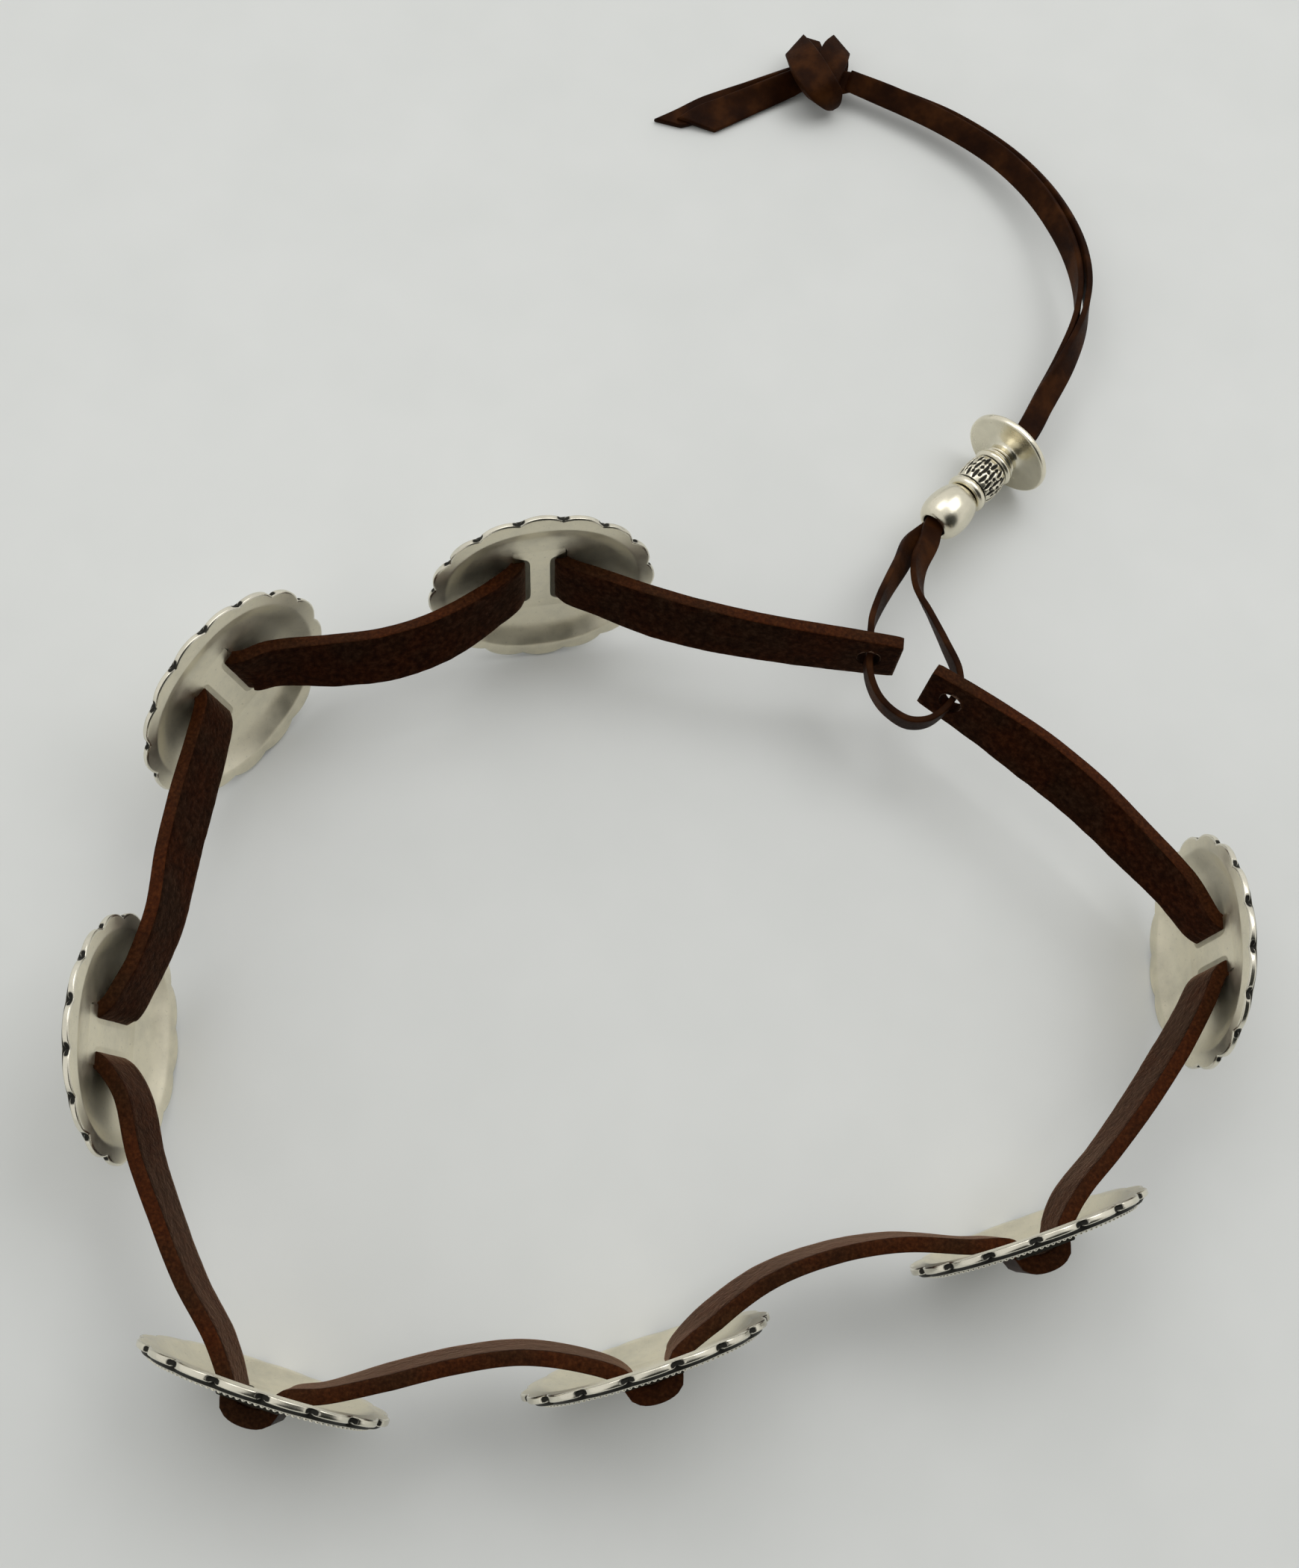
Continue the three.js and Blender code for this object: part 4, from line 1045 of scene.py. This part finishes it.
def bump(tree, shader, height, distance, strength=1.0, under=None):
    """Adds a relief of the given depth in millimetres to the surface."""
    values = {"Height": height, "Distance": distance * MM, "Strength": strength}
    node = add_node(tree, "ShaderNodeBump", values)
    if under is not None:
        tree.links.new(under, node.inputs["Normal"])
    tree.links.new(node.outputs["Normal"], shader.inputs["Normal"])
    return node.outputs["Normal"]


# %% [markdown]
# ### Leather
#
# The same hide shows three faces. The flesh side is a felt of short fibres: matte, mottled, and
# paler where light grazes it, which the sheen layer gives. The grain side is smooth and closed.
# The cut edge lies between the two, and its colour is redder because the dye did not soak in.

# %% Strap leather
flesh, tree, shader = new_finish("strap_flesh_side", (0.02, 0.009, 0.004), 0.95, specular=0.03)
place = coordinates(tree)
mottle = noise(tree, place, 1.6, detail=5, rough=0.6)
patches = noise(tree, place, 16, detail=2)
felt = noise(tree, coordinates(tree, (1, 1, 0.35)), 0.5, detail=4, rough=0.7)
browns = [(0.34, (0.009, 0.003, 0.0012)), (0.5, (0.018, 0.007, 0.003)), (0.66, (0.032, 0.015, 0.008))]
tone = ramp(tree, mottle, browns)
warm = mix(tree, ramp(tree, patches, [(0.4, 0.0), (0.65, 1.0)]), tone, (1.35, 0.85, 0.55), "MULTIPLY")
tree.links.new(warm, shader.inputs["Base Color"])
shader.inputs["Sheen Weight"].default_value = 0.65
shader.inputs["Sheen Roughness"].default_value = 0.25
shader.inputs["Sheen Tint"].default_value = (0.8, 0.5, 0.34, 1)
coarse = bump(tree, shader, mottle, 0.3, 0.8)
bump(tree, shader, felt, 0.14, 0.9, under=coarse)

edge, tree, shader = new_finish("strap_cut_edge", (0.05, 0.018, 0.006), 0.7, specular=0.06)
place = coordinates(tree)
grainy = noise(tree, place, 0.9, detail=5, rough=0.6)
patches = noise(tree, place, 24, detail=2)
browns = [(0.3, (0.015, 0.0045, 0.001)), (0.52, (0.03, 0.0105, 0.003)), (0.72, (0.05, 0.02, 0.007))]
tone = ramp(tree, grainy, browns)
warm = mix(tree, ramp(tree, patches, [(0.38, 0.0), (0.62, 1.0)]), tone, (1.6, 1.1, 0.7), "MULTIPLY")
tree.links.new(warm, shader.inputs["Base Color"])
bump(tree, shader, grainy, 0.12, 0.7)

grain, tree, shader = new_finish("strap_grain_side", (0.012, 0.005, 0.003), 0.5, specular=0.08)
place = coordinates(tree)
pebble = add_node(tree, "ShaderNodeTexVoronoi", {"Vector": place, "Scale": 1 / 0.7}).outputs["Distance"]
patches = noise(tree, place, 9, detail=3)
tone = ramp(tree, patches, [(0.35, (0.012, 0.004, 0.0018)), (0.65, (0.026, 0.009, 0.004))])
tree.links.new(tone, shader.inputs["Base Color"])
bump(tree, shader, pebble, 0.05, 0.5)

for material in (flesh, grain, edge):
    strap.data.materials.append(material)

# %% Lace leather
lace_finish, tree, shader = new_finish("lace_oiled_leather", (0.028, 0.008, 0.002), 0.55, specular=0.05)
place = coordinates(tree)
patches = noise(tree, place, 8, detail=3)
fibre = noise(tree, place, 0.6, detail=4, rough=0.65)
browns = [(0.34, (0.013, 0.0034, 0.0006)), (0.5, (0.023, 0.0066, 0.0012)), (0.66, (0.046, 0.0145, 0.003))]
tone = ramp(tree, patches, browns)
tree.links.new(tone, shader.inputs["Base Color"])
tree.links.new(ramp(tree, fibre, [(0.3, 0.45), (0.7, 0.65)]), shader.inputs["Roughness"])
bump(tree, shader, fibre, 0.05, 0.6)
for piece in (lace_start, lace_end, knot):
    piece.data.materials.append(lace_finish)

# %% [markdown]
# ### Silver
#
# Antique silver plate is bright and satin where hands and cloth rub it, and black in its
# recesses, where the darkening was left. The meshes carry a darkness value for the recesses,
# and on the conchos' bars the same value is painted shade from the slots.
# The backs are left as cast, so they are rougher than the polished rims and beads, and fine
# scratches and cloudy patches break up the reflections on both.


# %% Silver finish
def silver_finish(name, low_rough, high_rough, tint, speckled):
    material, tree, shader = new_finish(name, tint, low_rough, metallic=1.0)
    place = coordinates(tree)
    clouds = noise(tree, place, 8, detail=4, rough=0.6)
    speck = noise(tree, place, 0.8, detail=5, rough=0.75)
    scratch = noise(tree, coordinates(tree, (1, 0.08, 1)), 0.6, detail=3)
    dim, full = tuple(c * 0.84 for c in tint), tuple(min(1, c * 1.07) for c in tint)
    bright = ramp(tree, clouds, [(0.3, dim), (0.55, tint), (0.75, full)])
    dulled = mix(tree, ramp(tree, speck, [(0.6, 0.0), (0.72, speckled)]), bright, (0.3, 0.27, 0.2))
    # the darkness value paints black: patina in the recesses, and painted shade on the conchos' bars
    tone = add_node(tree, "ShaderNodeAttribute", attribute_name="darkness").outputs["Fac"]
    black = ramp(tree, tone, [(0.12, 0.0), (0.7, 0.97)])
    tree.links.new(mix(tree, black, dulled, (0.01, 0.01, 0.009)), shader.inputs["Base Color"])
    worn = ramp(tree, clouds, [(0.35, low_rough), (0.7, high_rough)])
    tree.links.new(mix(tree, black, worn, (0.6, 0.6, 0.6)), shader.inputs["Roughness"])
    shallow = bump(tree, shader, speck, 0.025, 0.6)
    bump(tree, shader, scratch, 0.015, 0.4, under=shallow)
    return material


cast_back = silver_finish("silver_cast_back", 0.34, 0.48, (0.84, 0.785, 0.625), 0.55)
polished = silver_finish("silver_polished", 0.16, 0.28, (0.8, 0.76, 0.64), 0.3)
satin = silver_finish("silver_satin", 0.2, 0.3, (0.84, 0.79, 0.64), 0.25)
pattern.data.materials.append(cast_back)
pattern.data.materials.append(polished)
ring_count = len(BACK) + len(RIM) + len(FRONT)
# the polished rim starts three rings before the back's last one, and the bar is as cast
which = np.ones(len(pattern.data.polygons), np.int32)
which[: (len(BACK) - 3) * RING_POINTS] = 0
which[ring_count * RING_POINTS :][:BAR_FACES] = 0
pattern.data.polygons.foreach_set("material_index", which)
for piece in (smooth_bead, patterned_bead, disc_bead):
    piece.data.materials.append(satin)

# %% [markdown]
# ## Floor and light
#
# The belt stands on a plain white sheet. Two soft boxes hang behind it, to the left and to the
# right, so the shadows fall towards the camera and to both sides. An even pale surround fills
# the rest and gives the silver something bright to reflect. One dark patch in it, in front of
# the belt, stands for whoever looks at it: shiny metal needs something dark to reflect as well,
# and it gives the rims their dark lines.

# %% Floor
bpy.ops.mesh.primitive_plane_add(size=6, location=(0, 0, 0))
floor = bpy.context.object
floor.name = "floor"
paper, tree, shader = new_finish("white_sheet", (0.74, 0.75, 0.735), 0.45)
fine = noise(tree, coordinates(tree), 30, detail=2)
whites = ramp(tree, fine, [(0.3, (0.728, 0.742, 0.725)), (0.7, (0.752, 0.764, 0.748))])
tree.links.new(whites, shader.inputs["Base Color"])
floor.data.materials.append(paper)

# %% Lights
# unit direction towards the dark part of the room, in front of the belt and above it
DARK_TOWARDS = (0.5, -0.68, 0.536)
world = bpy.data.worlds.new("soft_surround")
world.use_nodes = True
tree = world.node_tree
direction = add_node(tree, "ShaderNodeTexCoord").outputs["Generated"]
towards = add_node(tree, "ShaderNodeVectorMath", {0: direction, 1: DARK_TOWARDS}, operation="DOT_PRODUCT")
surround = ramp(tree, towards.outputs["Value"], [(0.72, (1.0, 1.0, 0.98)), (0.86, (0.03, 0.032, 0.028))])
tree.links.new(surround, tree.nodes["Background"].inputs["Color"])
tree.nodes["Background"].inputs["Strength"].default_value = 0.74
bpy.context.scene.world = world


def softbox(name, place, aim, size, power):
    lamp = bpy.data.lights.new(name, "AREA")
    lamp.shape = "RECTANGLE"
    lamp.size, lamp.size_y = size
    lamp.energy = power
    box = bpy.data.objects.new(name, lamp)
    box.location = place
    box.rotation_euler = (Vector(aim) - Vector(place)).to_track_quat("-Z", "Y").to_euler()
    bpy.context.scene.collection.objects.link(box)


softbox("softbox_back_right", (0.6, 0.8, 1.5), (0, 0.05, 0), (1.3, 0.9), 6.0)
softbox("softbox_back_left", (-0.7, 0.7, 1.5), (0, 0.05, 0), (1.2, 0.9), 4.4)
bpy.context.scene.view_settings.view_transform = "Standard"
